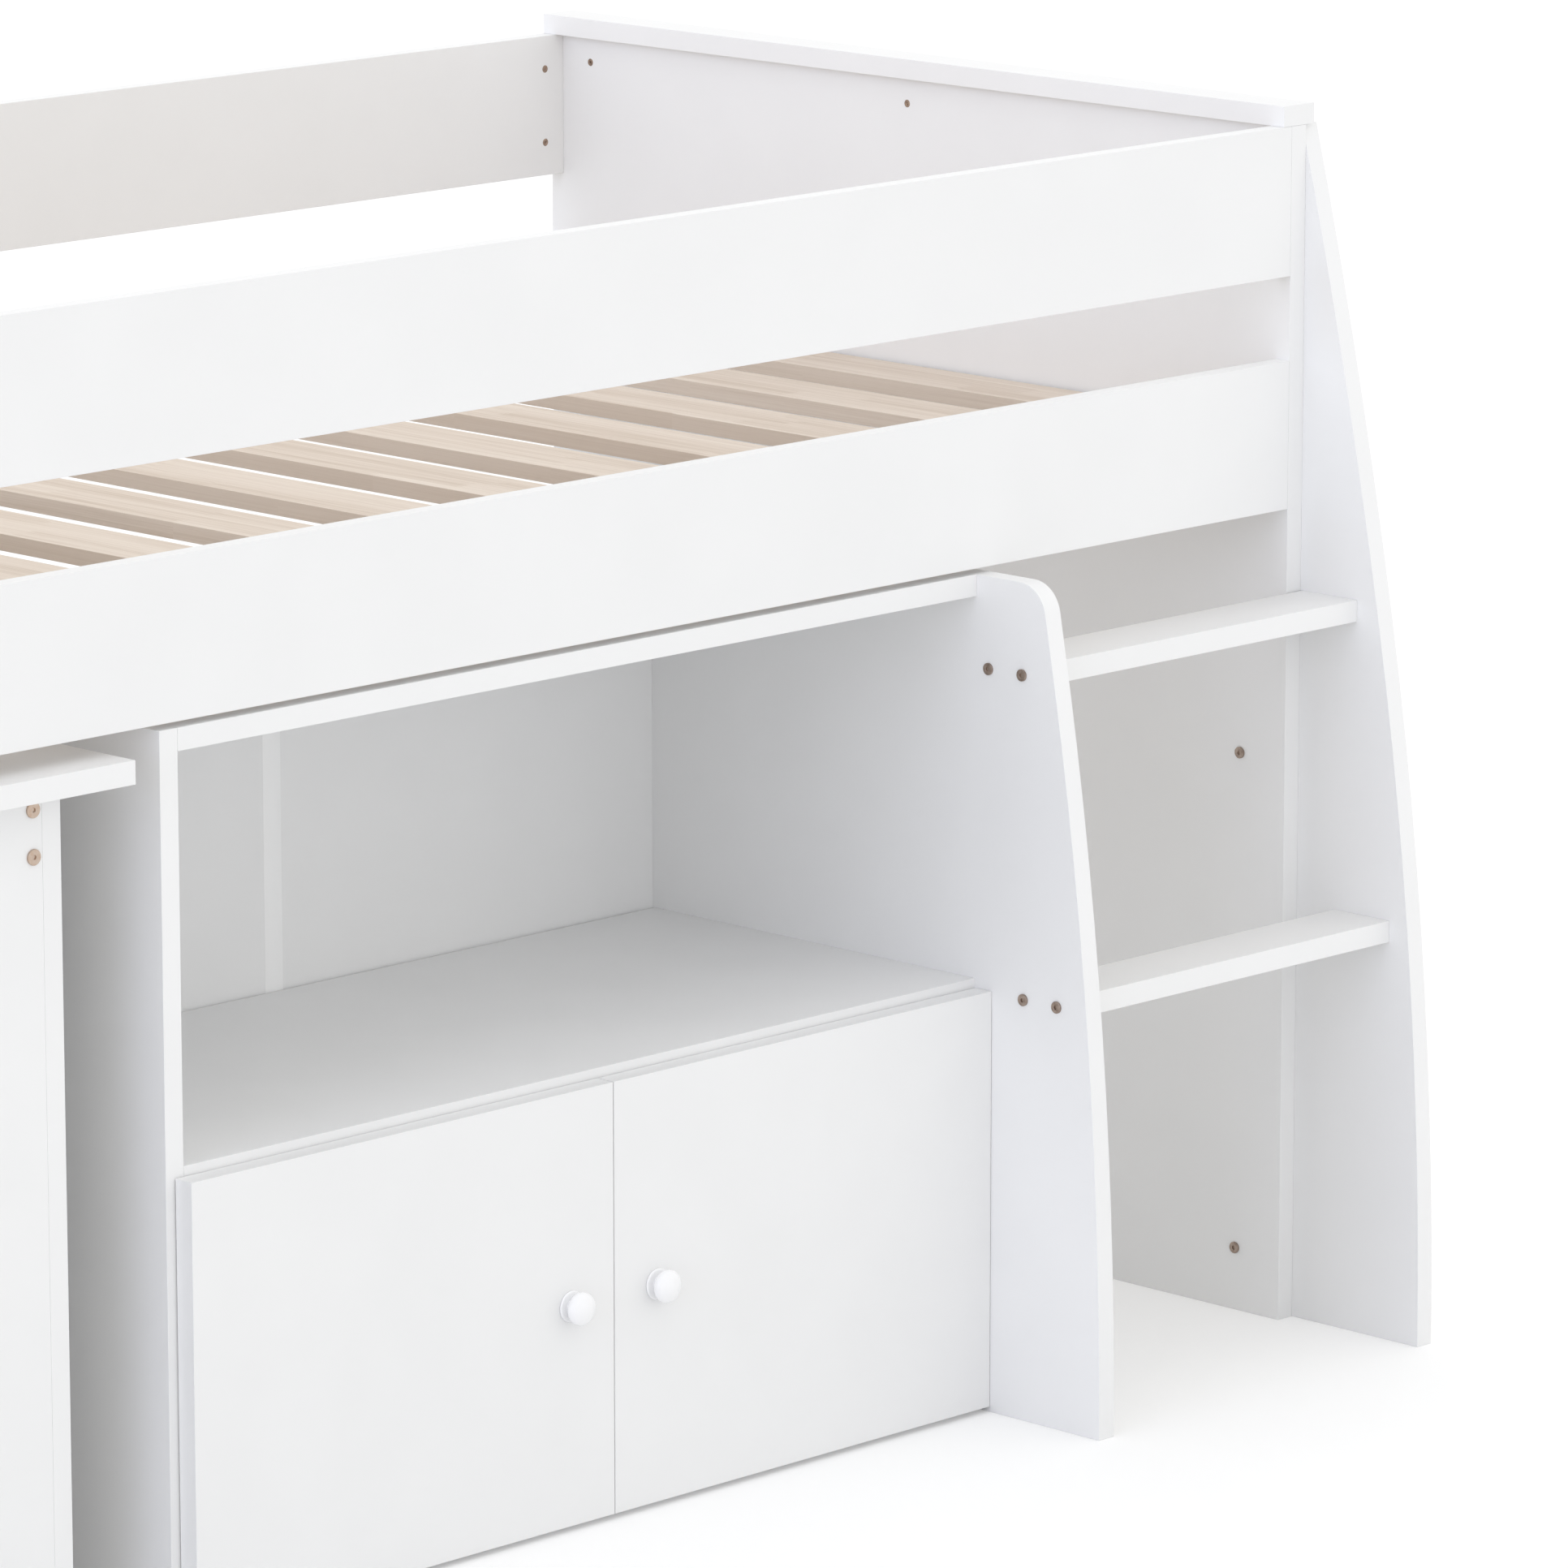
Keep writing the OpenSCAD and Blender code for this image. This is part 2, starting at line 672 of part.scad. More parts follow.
module slat_base_screws() {
    color(steel) in_frame() {
        for (back = [0, 1]) at_bearer_screws(back) wood_screw();
        at_slat_screws() wood_screw();
    }
}

// ---------- Ladder ----------

// Both stiles' outline up to height top and back to y1, with distances from the rails' front
module stile_outline(top, y1) {
    far = stile_reach + cut;
    intersection() {
        translate([-far, 0]) square([far + y1, min(top, stile_blend_z)]);
        translate(low_c) circle(r = stile_r_low, $fn = curve_fn);
    }
    intersection() {
        translate([-far, stile_blend_z]) square([far + y1, top - stile_blend_z]);
        translate(high_c) circle(r = stile_r_high, $fn = curve_fn);
    }
}

module ladder_stile() {
    color(white) in_frame() difference() {
        side_board(right_in + panel_t, panel_t) stile_outline(panel_h, stile_back);
        at_rung_bolts(rung_rows, [1]) to_right() hole(bolt_d / 2, panel_t + cut);
        for (z = stile_bolt_zs)
            translate([stile_out_x, stile_bolt_y, z]) to_left() hole(sleeve_r, panel_t + cut);
    }
}

module rung(row) {
    difference() {
        board(rung_x0, rung_x0 + rung_len, row[0], row[0] + rung_d, row[1], row[1] + rung_t);
        at_rung_bolts([row]) translate([panel_t, 0, 0]) {
            to_right() hole(bolt_d / 2, barrel_in + bolt_past);
            translate([barrel_in, 0, -rung_t / 2]) hole(barrel_d / 2, barrel_l + fix_clear);
        }
    }
}

module rung_upper() { color(white) in_frame() rung(rung_rows[0]); }
module rung_lower() { color(white) in_frame() rung(rung_rows[1]); }

module rung_bolts() {
    color(bronze) in_frame() at_rung_bolts(rung_rows) to_right()
        socket_bolt(panel_t + barrel_in + bolt_past - fix_clear, bolt_head_d);
}

module rung_barrel_nuts() {
    color(steel) in_frame() at_rung_bolts(rung_rows)
        translate([panel_t + barrel_in, 0, -rung_t / 2]) barrel_nut(rung_t / 2);
}

module stile_bolts() {
    color(bronze) in_frame() for (z = stile_bolt_zs)
        translate([right_in, stile_bolt_y, z]) to_right() socket_bolt(stile_bolt_l, bolt_head_d);
}

// Sleeve nuts: a flat head on the stile's outer face and a threaded sleeve in the stile
module stile_sleeve_nuts() {
    color(bronze) in_frame() for (z = stile_bolt_zs) translate([stile_out_x, stile_bolt_y, z]) to_left()
        difference() {
            union() {
                cylinder(r = sleeve_r, h = sleeve_l, $fn = fine);
                translate([0, 0, -bolt_head_t]) cylinder(d = bolt_head_d, h = bolt_head_t, $fn = fine);
            }
            translate([0, 0, sleeve_floor]) cylinder(r = bolt_d / 2 + fix_clear, h = sleeve_l, $fn = fine);
            translate([0, 0, -bolt_head_t - cut]) cylinder(d = socket_w, h = cut + sleeve_socket, $fn = 6);
        }
}

// ---------- Cupboard ----------

module unit_side_holes(side) {
    at_unit(unit_board_zs, unit_cam_ys, [side])
        translate([0, 0, unit_t / 2]) to_left() hole(cam_bolt_r, cam_bolt_in);
    at_unit(unit_board_zs, unit_dowel_ys, [side])
        translate([0, 0, unit_t / 2]) to_left() hole(dowel_r, dowel_in);
    at_plate_screws([side]) mirror([0, 0, 1]) hole(plate_screw_r, plate_screw_l);
}

module unit_side_left() {
    color(white) in_frame() difference() {
        board(unit_left_out, unit_left_in, 0, unit_depth, 0, unit_h);
        unit_side_holes(-1);
    }
}

// What the rounded front top corner takes away: the wedge outside the corner's circle
module corner_waste() {
    c = [high_c[0] - sqrt(pow(stile_r_high - unit_corner_r, 2) - pow(unit_h - unit_corner_r - high_c[1], 2)),
         unit_h - unit_corner_r];
    u = (c - high_c) / (stile_r_high - unit_corner_r);
    far = 2 * unit_corner_r;
    difference() {
        polygon([c, c + far * u, c + [-far, far], c + [0, far]]);
        translate(c) circle(r = unit_corner_r, $fn = fine * 2);
    }
}

module unit_side_ladder() {
    color(white) in_frame() difference() {
        side_board(unit_right_in, panel_t) difference() {
            stile_outline(unit_h, unit_depth);
            corner_waste();
        }
        unit_side_holes(1);
        at_rung_bolts(rung_rows, [-1]) to_right() hole(bolt_d / 2, panel_t + cut);
    }
}

module unit_board(z0, y1) {
    difference() {
        board(unit_left_in, unit_right_in, 0, y1, z0, z0 + unit_t);
        at_unit([z0], unit_cam_ys) {
            translate([0, 0, unit_t / 2]) to_right() hole(cam_bolt_r, cam_edge);
            translate([cam_edge, 0, 0]) mirror([0, 0, 1]) cam_pocket();
        }
        at_unit([z0], unit_dowel_ys) translate([0, 0, unit_t / 2]) to_right() hole(dowel_r, dowel_out);
        at_back_nails() nail_hole();
    }
}

module unit_bottom() { color(white) in_frame() unit_board(unit_board_zs[0], back_y); }
module unit_shelf() { color(white) in_frame() unit_board(unit_board_zs[1], back_y - shelf_back_gap); }
module unit_top() { color(white) in_frame() unit_board(unit_board_zs[2], back_y); }

// Nails through the back boards: origin on the back boards' rear face, pointing out of it
module at_back_nails() {
    half = unit_inner_w / 2;
    for (z = [unit_bottom_z + unit_t / 2, unit_h - unit_t / 2])
        for (side = [-1, 1])
            for (x = [nail_inset, half / 2, half - nail_inset])
                translate([unit_mid_x + side * x, unit_depth, z]) to_back() children();
}

module nail_hole() {
    translate([0, 0, -nail_l]) cylinder(r = nail_r + fix_clear, h = nail_l + cut, $fn = 24);
}

module unit_back(side) {
    x0 = side < 0 ? unit_left_in : unit_mid_x + web_half;
    x1 = side < 0 ? unit_mid_x - web_half : unit_right_in;
    difference() {
        board(x0, x1, back_y, unit_depth, unit_bottom_z, unit_h);
        at_back_nails() nail_hole();
    }
}

module unit_back_left() { color(white) in_frame() unit_back(-1); }
module unit_back_right() { color(white) in_frame() unit_back(1); }

module back_nails() {
    color(steel) in_frame() at_back_nails() {
        translate([0, 0, -nail_l + nail_head_t / 2]) cylinder(r = nail_r, h = nail_l, $fn = 24);
        cylinder(r = nail_head_r, h = nail_head_t, $fn = 24);
    }
}

// An H section whose web stands between the two back boards; its front face is slightly crowned
module back_joining_strip() {
    z0 = unit_bottom_z + unit_t;
    z1 = unit_h - unit_t;
    crown_r = (pow(strip_w / 2, 2) + pow(strip_t, 2)) / (2 * strip_t);
    color(white) in_frame() translate([unit_mid_x, 0, z0]) linear_extrude(z1 - z0) {
        intersection() {
            translate([-strip_w / 2, back_y - strip_t]) square([strip_w, strip_t]);
            translate([0, back_y - strip_t + crown_r]) circle(r = crown_r, $fn = 720);
        }
        translate([-web_half, back_y - strip_t / 2]) square([2 * web_half, back_t + strip_t]);
        translate([-strip_w / 2, unit_depth]) square([strip_w, strip_t]);
    }
}

// ---------- Cam locks, cam bolts and dowels ----------

module cam_locks() {
    color(bronze) in_frame() {
        for (row = rail_rows) at_rail_ends(row[0], row[1], rail_cam_dz)
            translate([cam_edge, rail_t / 2, 0]) to_back() cam_lock(rail_t / 2);
        for (side = [-1, 1]) at_cap(side, cap_cam_ys)
            translate([panel_t / 2, 0, -cam_edge]) to_right() cam_lock(panel_t / 2);
        at_unit(unit_board_zs, unit_cam_ys)
            translate([cam_edge, 0, 0]) mirror([0, 0, 1]) cam_lock(unit_t / 2);
    }
}

module cam_bolts() {
    color(steel) in_frame() {
        for (row = rail_rows) at_rail_ends(row[0], row[1], rail_cam_dz) to_right() cam_bolt();
        for (side = [-1, 1]) at_cap(side, cap_cam_ys) mirror([0, 0, 1]) cam_bolt();
        at_unit(unit_board_zs, unit_cam_ys) translate([0, 0, unit_t / 2]) to_right() cam_bolt();
    }
}

module wood_dowels() {
    color(beech) in_frame() {
        for (row = rail_rows) at_rail_ends(row[0], row[1], [0]) to_right() dowel();
        for (side = [-1, 1]) at_cap(side, cap_dowel_ys) mirror([0, 0, 1]) dowel();
        at_unit(unit_board_zs, unit_dowel_ys) translate([0, 0, unit_t / 2]) to_right() dowel();
    }
}

// ---------- Hinges ----------

// A leaf between two heights: a ring's stretch about the turning axis, angles from +Y to +X
module leaf(z0, z1) {
    far = 3 * leaf_r1;
    translate([0, 0, z0]) linear_extrude(z1 - z0) intersection() {
        difference() {
            circle(r = leaf_r1, $fn = fine * 2);
            circle(r = leaf_r0, $fn = fine * 2);
        }
        polygon([[0, 0], [far * sin(leaf_a0), far * cos(leaf_a0)],
                 [far * sin(leaf_a1), far * cos(leaf_a1)]]);
    }
}

module both_halves() {
    children();
    mirror([0, 0, 1]) children();
}

module hinge_plates() {
    color(steel) in_frame() for (side = [-1, 1]) at_hinges([side]) {
        face = side < 0 ? left_face : right_face;
        difference() {
            translate([face, 0, 0]) {
                translate([0, arm_y, -plate_half]) cube([plate_t, plate_l, 2 * plate_half]);
                translate([0, plate_screw_y - wing_w / 2, -wing_half]) cube([plate_t, wing_w, 2 * wing_half]);
            }
            for (z = [-plate_screw_z, plate_screw_z])
                translate([face + plate_t, plate_screw_y, z]) to_left() hole(plate_screw_r, plate_t + cut);
        }
    }
}

module hinge_arms() {
    color(steel) in_frame() for (side = [-1, 1]) at_hinges([side]) {
        x0 = (side < 0 ? left_face : right_face) + plate_t;
        leaf(-tongue_half, tongue_half);
        translate([x0, leaf_r0 + 1, -tongue_half])
            cube([tongue_x - x0, arm_y - leaf_r0, 2 * tongue_half]);
        difference() {
            translate([x0, arm_y, -arm_half]) cube([arm_h, arm_l, 2 * arm_half]);
            translate([x0 - cut, arm_y + arm_solid, -arm_half + arm_wall])
                cube([arm_h + cut - arm_wall, arm_l, 2 * (arm_half - arm_wall)]);
            translate([x0, plate_screw_y, 0]) to_right()
                cylinder(r = arm_hole_r, h = arm_h + cut, $fn = fine);
        }
    }
}

module at_plate_screws(sides) {
    for (side = sides) at_hinges([side]) for (z = [-plate_screw_z, plate_screw_z])
        translate([(side < 0 ? left_face : right_face) + plate_t, plate_screw_y, z]) to_right() children();
}

module hinge_plate_screws() {
    color(steel) in_frame() at_plate_screws([-1, 1])
        pan_screw(plate_screw_l, plate_screw_r, plate_screw_head_r, plate_screw_head_t);
}

module hinge_links(side) {
    color(steel) in_frame() at_hinges([side]) both_halves() leaf(link_z0, link_z1);
}

module hinge_links_left() { hinge_links(-1); }
module hinge_links_right() { hinge_links(1); }

// Cup: a bowl in the door, a flange with two ears on the door's back, and the outer leaves
module hinge_cups(side) {
    floor_y = door_t - cup_depth;
    color(steel) in_frame() at_hinges([side]) {
        difference() {
            union() {
                translate([cup_x, floor_y, 0]) to_back()
                    cylinder(r = cup_d / 2 - fix_clear, h = cup_depth, $fn = fine);
                translate([cup_x, door_t, 0]) to_back() cylinder(r = flange_r, h = flange_t, $fn = fine);
                translate([cup_x - ear_half, door_t, -ear_z - ear_half])
                    cube([2 * ear_half, flange_t, 2 * (ear_z + ear_half)]);
            }
            translate([cup_x, floor_y + cup_wall, 0]) to_back()
                cylinder(r = cup_d / 2 - fix_clear - cup_wall, h = cup_depth + cut, $fn = fine);
            for (z = [-ear_z, ear_z])
                translate([cup_x, door_t + flange_t, z]) to_front() hole(cup_screw_r, flange_t + cut);
        }
        both_halves() {
            leaf(lug_z0, lug_z1);
            translate([leaf_r0 * sin(leaf_a1) - 1, floor_y + cup_wall / 2, lug_z0])
                cube([lug_w, lug_w, lug_z1 - lug_z0]);
        }
    }
}

module hinge_cups_left() { hinge_cups(-1); }
module hinge_cups_right() { hinge_cups(1); }

module at_cup_screws(side) {
    at_hinges([side]) for (z = [-ear_z, ear_z])
        translate([cup_x, door_t + flange_t, z]) to_back() children();
}

module cup_screws(side) {
    color(steel) in_frame() at_cup_screws(side)
        pan_screw(cup_screw_l, cup_screw_r, cup_screw_head_r, cup_screw_head_t);
}

module cup_screws_left() { cup_screws(-1); }
module cup_screws_right() { cup_screws(1); }

// ---------- Doors ----------

// Knob: origin on the door's front face, pointing out of it
module at_knob(side) {
    translate([unit_mid_x + side * knob_offset, door_front_y, knob_z]) to_front() children();
}

module door(side) {
    x0 = side < 0 ? door_left_x : unit_mid_x + door_meeting_gap / 2;
    x1 = side < 0 ? unit_mid_x - door_meeting_gap / 2 : door_right_x;
    color(white) in_frame() difference() {
        board(x0, x1, door_front_y, door_back_y, door_bottom_z, door_bottom_z + door_h);
        at_hinges([side]) translate([cup_x, door_t - cup_depth, 0]) to_back()
            cylinder(r = cup_d / 2, h = cup_depth + cut, $fn = fine);
        at_cup_screws(side) translate([0, 0, -flange_t]) mirror([0, 0, 1]) hole(cup_screw_r, cup_screw_l);
        at_knob(side) translate([0, 0, -door_t - cut])
            cylinder(r = knob_rod_r + fix_clear, h = door_t + 2 * cut, $fn = fine);
    }
}

module door_left() { door(-1); }
module door_right() { door(1); }

// A flange on the door, a neck and a head whose dome runs smoothly into its round rim
module knob(side) {
    foot_r = knob_d / 2 - knob_flange_in;
    foot_edge_r = knob_flange_t / 2;
    rim_x = knob_d / 2 - knob_rim_r;
    rim_drop = knob_head_t - knob_rim_r;        // the rim's middle, below the top of the dome
    rim_z = knob_out - rim_drop;
    dome_r = (pow(rim_x, 2) - pow(knob_rim_r, 2) + pow(rim_drop, 2)) / (2 * (rim_drop - knob_rim_r));
    meet_x = rim_x * dome_r / (dome_r - knob_rim_r);
    color(white) in_frame() at_knob(side) difference() {
        rotate_extrude($fn = fine) {
            square([foot_r - foot_edge_r, knob_flange_t]);
            translate([foot_r - foot_edge_r, foot_edge_r]) circle(r = foot_edge_r, $fn = fine);
            square([knob_d / 4, rim_z]);
            intersection() {
                union() {
                    translate([0, rim_z - knob_rim_r]) square([rim_x, knob_rim_r]);
                    translate([0, rim_z]) square([meet_x, rim_drop]);
                    translate([rim_x, rim_z]) circle(r = knob_rim_r, $fn = fine);
                }
                translate([0, knob_out - dome_r]) circle(r = dome_r, $fn = fine * 4);
                square([knob_d, knob_out]);
            }
        }
        translate([0, 0, -cut]) cylinder(r = knob_rod_r + fix_clear, h = knob_thread + cut, $fn = fine);
    }
}

module knob_left() { knob(-1); }
module knob_right() { knob(1); }

module knob_screw(side) {
    color(steel) in_frame() at_knob(side) translate([0, 0, -door_t]) mirror([0, 0, 1])
        pan_screw(door_t + knob_thread - 1, knob_rod_r, knob_screw_head_r, knob_screw_head_t);
}

module knob_screw_left() { knob_screw(-1); }
module knob_screw_right() { knob_screw(1); }

// ---------- Desk ----------

// Dowels between the desk top and the leg panels: origin on the leg panel's top edge
module at_desk_dowels() {
    at_desk_ends() for (share = desk_dowel_shares)
        translate([share * half_legs, desk_t / 2, desk_under_z]) mirror([0, 0, 1]) children();
}

// Desk bolts: origin on the leg panel's outer face, +Z along the apron
module at_desk_bolts() {
    at_desk_ends() for (side = [-1, 1]) for (dz = [-desk_bolt_half, desk_bolt_half])
        translate([side * apron_x, 0, apron_mid_z + dz]) to_back() children();
}

module desk_top() {
    color(white) in_frame() difference() {
        board(desk_x0, desk_x1, desk_y0, desk_y1, desk_under_z, desk_h);
        at_desk_dowels() mirror([0, 0, 1]) hole(dowel_r, dowel_in);
    }
}

module desk_end_panel(e) {
    color(white) in_frame() difference() {
        at_desk_ends([e])
            board(-half_legs + desk_t, half_legs - desk_t, 0, desk_t, desk_foot_z, desk_under_z);
        at_desk_dowels() hole(dowel_r, dowel_out);
        at_desk_bolts() hole(bolt_d / 2, desk_t + cut);
    }
}

module desk_front_panel() { desk_end_panel(0); }
module desk_rear_panel() { desk_end_panel(1); }

module desk_returns() {
    color(white) in_frame() difference() {
        at_desk_ends() for (side = [-1, 1]) {
            x0 = side < 0 ? -half_legs : half_legs - desk_t;
            board(x0, x0 + desk_t, 0, desk_return_d, desk_foot_z, desk_under_z);
        }
        at_castors() at_castor_screws() mirror([0, 0, 1]) hole(castor_screw_r, castor_screw_l);
    }
}

module desk_aprons() {
    color(white) in_frame() difference() {
        for (side = [-1, 1]) {
            x = leg_mid_x + side * apron_x;
            board(x - desk_t / 2, x + desk_t / 2, leg_y0 + desk_t, leg_y1 - desk_t,
                  desk_under_z - apron_h, desk_under_z);
        }
        at_desk_bolts() translate([0, 0, desk_t]) {
            hole(bolt_d / 2, barrel_in + bolt_past);
            translate([0, 0, barrel_in]) desk_barrel_place() hole(barrel_d / 2, barrel_l + fix_clear);
        }
    }
}

// The desk's barrel nuts enter the apron from the face that looks to the desk's left
module desk_barrel_place() {
    translate([-desk_t / 2, 0, 0]) to_right() children();
}

module desk_bolts() {
    color(bronze) in_frame() at_desk_bolts()
        socket_bolt(desk_t + barrel_in + bolt_past - fix_clear, desk_bolt_head_d);
}

module desk_barrel_nuts() {
    color(steel) in_frame() at_desk_bolts() translate([0, 0, desk_t + barrel_in])
        desk_barrel_place() barrel_nut(desk_t / 2);
}

module desk_dowels() {
    color(beech) in_frame() at_desk_dowels() dowel();
}

// ---------- Castors ----------

module castor_bracket() {
    difference() {
        union() {
            translate([0, plate_start_y, desk_foot_z])
                cube([fork_t, 2 * (wheel_y - plate_start_y), fork_plate_h - desk_foot_z]);
            translate([fork_w - fork_t, wheel_y - fork_half, desk_foot_z])
                cube([fork_t, 2 * fork_half, fork_top_z - desk_foot_z]);
            translate([0, wheel_y - fork_half, fork_top_z]) cube([fork_w, 2 * fork_half, fork_t]);
        }
        translate([-cut, wheel_y, wheel_d / 2]) to_right()
            cylinder(r = axle_r + fix_clear, h = fork_w + 2 * cut, $fn = fine);
        at_castor_screws() mirror([0, 0, 1]) hole(castor_screw_r, fork_t + cut);
    }
}

module at_castor_screws() {
    for (dy = [-castor_screw_half, castor_screw_half])
        translate([fork_t, wheel_y + dy, fork_plate_h - castor_screw_top]) to_right() children();
}

module castor_brackets() {
    color(steel) in_frame() at_castors() castor_bracket();
}

module castor_axles() {
    color(steel) in_frame() at_castors() translate([0, wheel_y, wheel_d / 2]) to_right() {
        cylinder(r = axle_r, h = fork_w, $fn = fine);
        translate([0, 0, fork_w]) cylinder(r = axle_head_r, h = axle_head_t, $fn = fine);
    }
}

module castor_screws() {
    color(steel) in_frame() at_castors() at_castor_screws()
        pan_screw(castor_screw_l, castor_screw_r, castor_screw_head_r, castor_screw_head_t);
}

// A wheel with a rounded tread and a hub
module castor_wheel(side, e) {
    wheel_r = wheel_d / 2;
    x = fork_t + wheel_side_gap;
    color(grey) in_frame() at_castor(side, e) translate([x, wheel_y, wheel_r]) to_right() difference() {
        rotate_extrude($fn = fine) {
            square([wheel_r - tread_r, wheel_w]);
            translate([0, tread_r]) square([wheel_r, wheel_w - 2 * tread_r]);
            for (z = [tread_r, wheel_w - tread_r])
                translate([wheel_r - tread_r, z]) circle(r = tread_r, $fn = fine);
        }
        translate([0, 0, -cut]) cylinder(r = axle_r + wheel_clear, h = wheel_w + 2 * cut, $fn = fine);
        for (z = [-cut, wheel_w - wheel_dish]) translate([0, 0, z]) difference() {
            cylinder(r = wheel_r - wheel_rim, h = wheel_dish + cut, $fn = fine);
            translate([0, 0, -cut]) cylinder(r = axle_r + wheel_hub, h = wheel_dish + 3 * cut, $fn = fine);
        }
    }
}

module castor_wheel_front_left() { castor_wheel(-1, 0); }
module castor_wheel_front_right() { castor_wheel(1, 0); }
module castor_wheel_rear_left() { castor_wheel(-1, 1); }
module castor_wheel_rear_right() { castor_wheel(1, 1); }

end_panel_left();
end_panel_right();
cap_rail_left();
cap_rail_right();
guard_rail_front();
guard_rail_back();
side_rail_front();
side_rail_back();
slat_bearers();
slats();
slat_base_screws();
ladder_stile();
rung_upper();
rung_lower();
rung_bolts();
rung_barrel_nuts();
stile_bolts();
stile_sleeve_nuts();
unit_side_left();
unit_side_ladder();
unit_top();
unit_shelf();
unit_bottom();
unit_back_left();
unit_back_right();
back_joining_strip();
back_nails();
cam_locks();
cam_bolts();
wood_dowels();
hinge_plates();
hinge_arms();
hinge_plate_screws();
door_left();
knob_left();
knob_screw_left();
hinge_cups_left();
cup_screws_left();
door_right();
knob_right();
knob_screw_right();
hinge_cups_right();
cup_screws_right();
hinge_links_left();
hinge_links_right();
desk_top();
desk_front_panel();
desk_rear_panel();
desk_returns();
desk_aprons();
desk_bolts();
desk_barrel_nuts();
desk_dowels();
castor_brackets();
castor_axles();
castor_screws();
castor_wheel_front_left();
castor_wheel_front_right();
castor_wheel_rear_left();
castor_wheel_rear_right();
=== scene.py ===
"""Looks of the cabin bed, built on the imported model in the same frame, in metres.

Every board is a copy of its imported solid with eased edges. What repeats, such as slats, bolts and
cam locks, is placed by Geometry Nodes. The materials are procedural.
"""

import math

import bmesh
import bpy
from bpy.props import FloatProperty, FloatVectorProperty, IntProperty, PointerProperty
from mathutils import Matrix, Vector


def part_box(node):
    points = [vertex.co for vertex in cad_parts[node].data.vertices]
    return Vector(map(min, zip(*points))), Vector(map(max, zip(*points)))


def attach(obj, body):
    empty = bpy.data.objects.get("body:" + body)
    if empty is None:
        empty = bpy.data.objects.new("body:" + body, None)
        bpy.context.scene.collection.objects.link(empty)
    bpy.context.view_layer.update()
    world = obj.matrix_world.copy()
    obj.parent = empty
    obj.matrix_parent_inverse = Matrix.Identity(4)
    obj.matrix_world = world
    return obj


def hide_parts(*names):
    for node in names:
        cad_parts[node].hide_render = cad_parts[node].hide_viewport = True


bl_info = {
    "name": "Cabin bed",
    "version": (1, 0, 0),
    "blender": (4, 5, 0),
    "location": "3D View > Sidebar > Cabin bed",
    "description": "A cabin bed with its ladder, cupboard and desk, their materials and the stage",
    "category": "Object",
}

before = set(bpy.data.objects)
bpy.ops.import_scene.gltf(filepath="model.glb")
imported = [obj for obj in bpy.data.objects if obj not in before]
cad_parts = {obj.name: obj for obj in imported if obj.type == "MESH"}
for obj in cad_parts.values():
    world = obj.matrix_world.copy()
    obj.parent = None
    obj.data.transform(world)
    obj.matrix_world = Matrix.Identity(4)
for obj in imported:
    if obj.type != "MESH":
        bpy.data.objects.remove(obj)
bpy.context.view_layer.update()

MM = 0.001
BED = "bed_frame"
DESK = "desk"


# ---------- Colours and nodes ----------

def linear(colour):
    """An sRGB hex colour such as "#F3F3F2" as linear RGBA."""
    parts = [int(colour[i:i + 2], 16) / 255 for i in (1, 3, 5)]
    return [p / 12.92 if p <= 0.04045 else ((p + 0.055) / 1.055) ** 2.4 for p in parts] + [1.0]


def add(tree, kind, **values):
    """Adds a node. Each value is set on the node's own property of that name, or else on its input
    of that name (underscores for spaces, a trailing number for a repeated name). An input takes a
    plain value, a socket, or a node, whose first output is meant. stops are the (position, linear
    colour) pairs of a colour ramp."""
    node = tree.nodes.new(kind)
    for name, value in values.items():
        if name == "stops":
            elements = node.color_ramp.elements
            elements[0].position, elements[1].position = value[0][0], value[-1][0]
            for position, _ in value[1:-1]:
                elements.new(position)
            for element, (_, colour) in zip(elements, value):
                element.color = colour
            continue
        if hasattr(node, name):
            setattr(node, name, value)
            continue
        words = name.replace("_", " ")
        found = [s for s in node.inputs if s.enabled and s.name == words]
        if not found:
            words, number = words.rsplit(" ", 1)
            found = [s for s in node.inputs if s.enabled and s.name == words][int(number):]
        if isinstance(value, bpy.types.Node):
            value = next(s for s in value.outputs if s.enabled)
        if isinstance(value, bpy.types.NodeSocket):
            tree.links.new(value, found[0])
        else:
            found[0].default_value = value
    return node


def new_material(name):
    """An empty material, its nodes, and the place of a point on the piece in metres."""
    made = bpy.data.materials.new(name)
    made.use_nodes = True
    tree = made.node_tree
    tree.nodes.clear()
    return made, tree, add(tree, "ShaderNodeTexCoord").outputs["Object"]


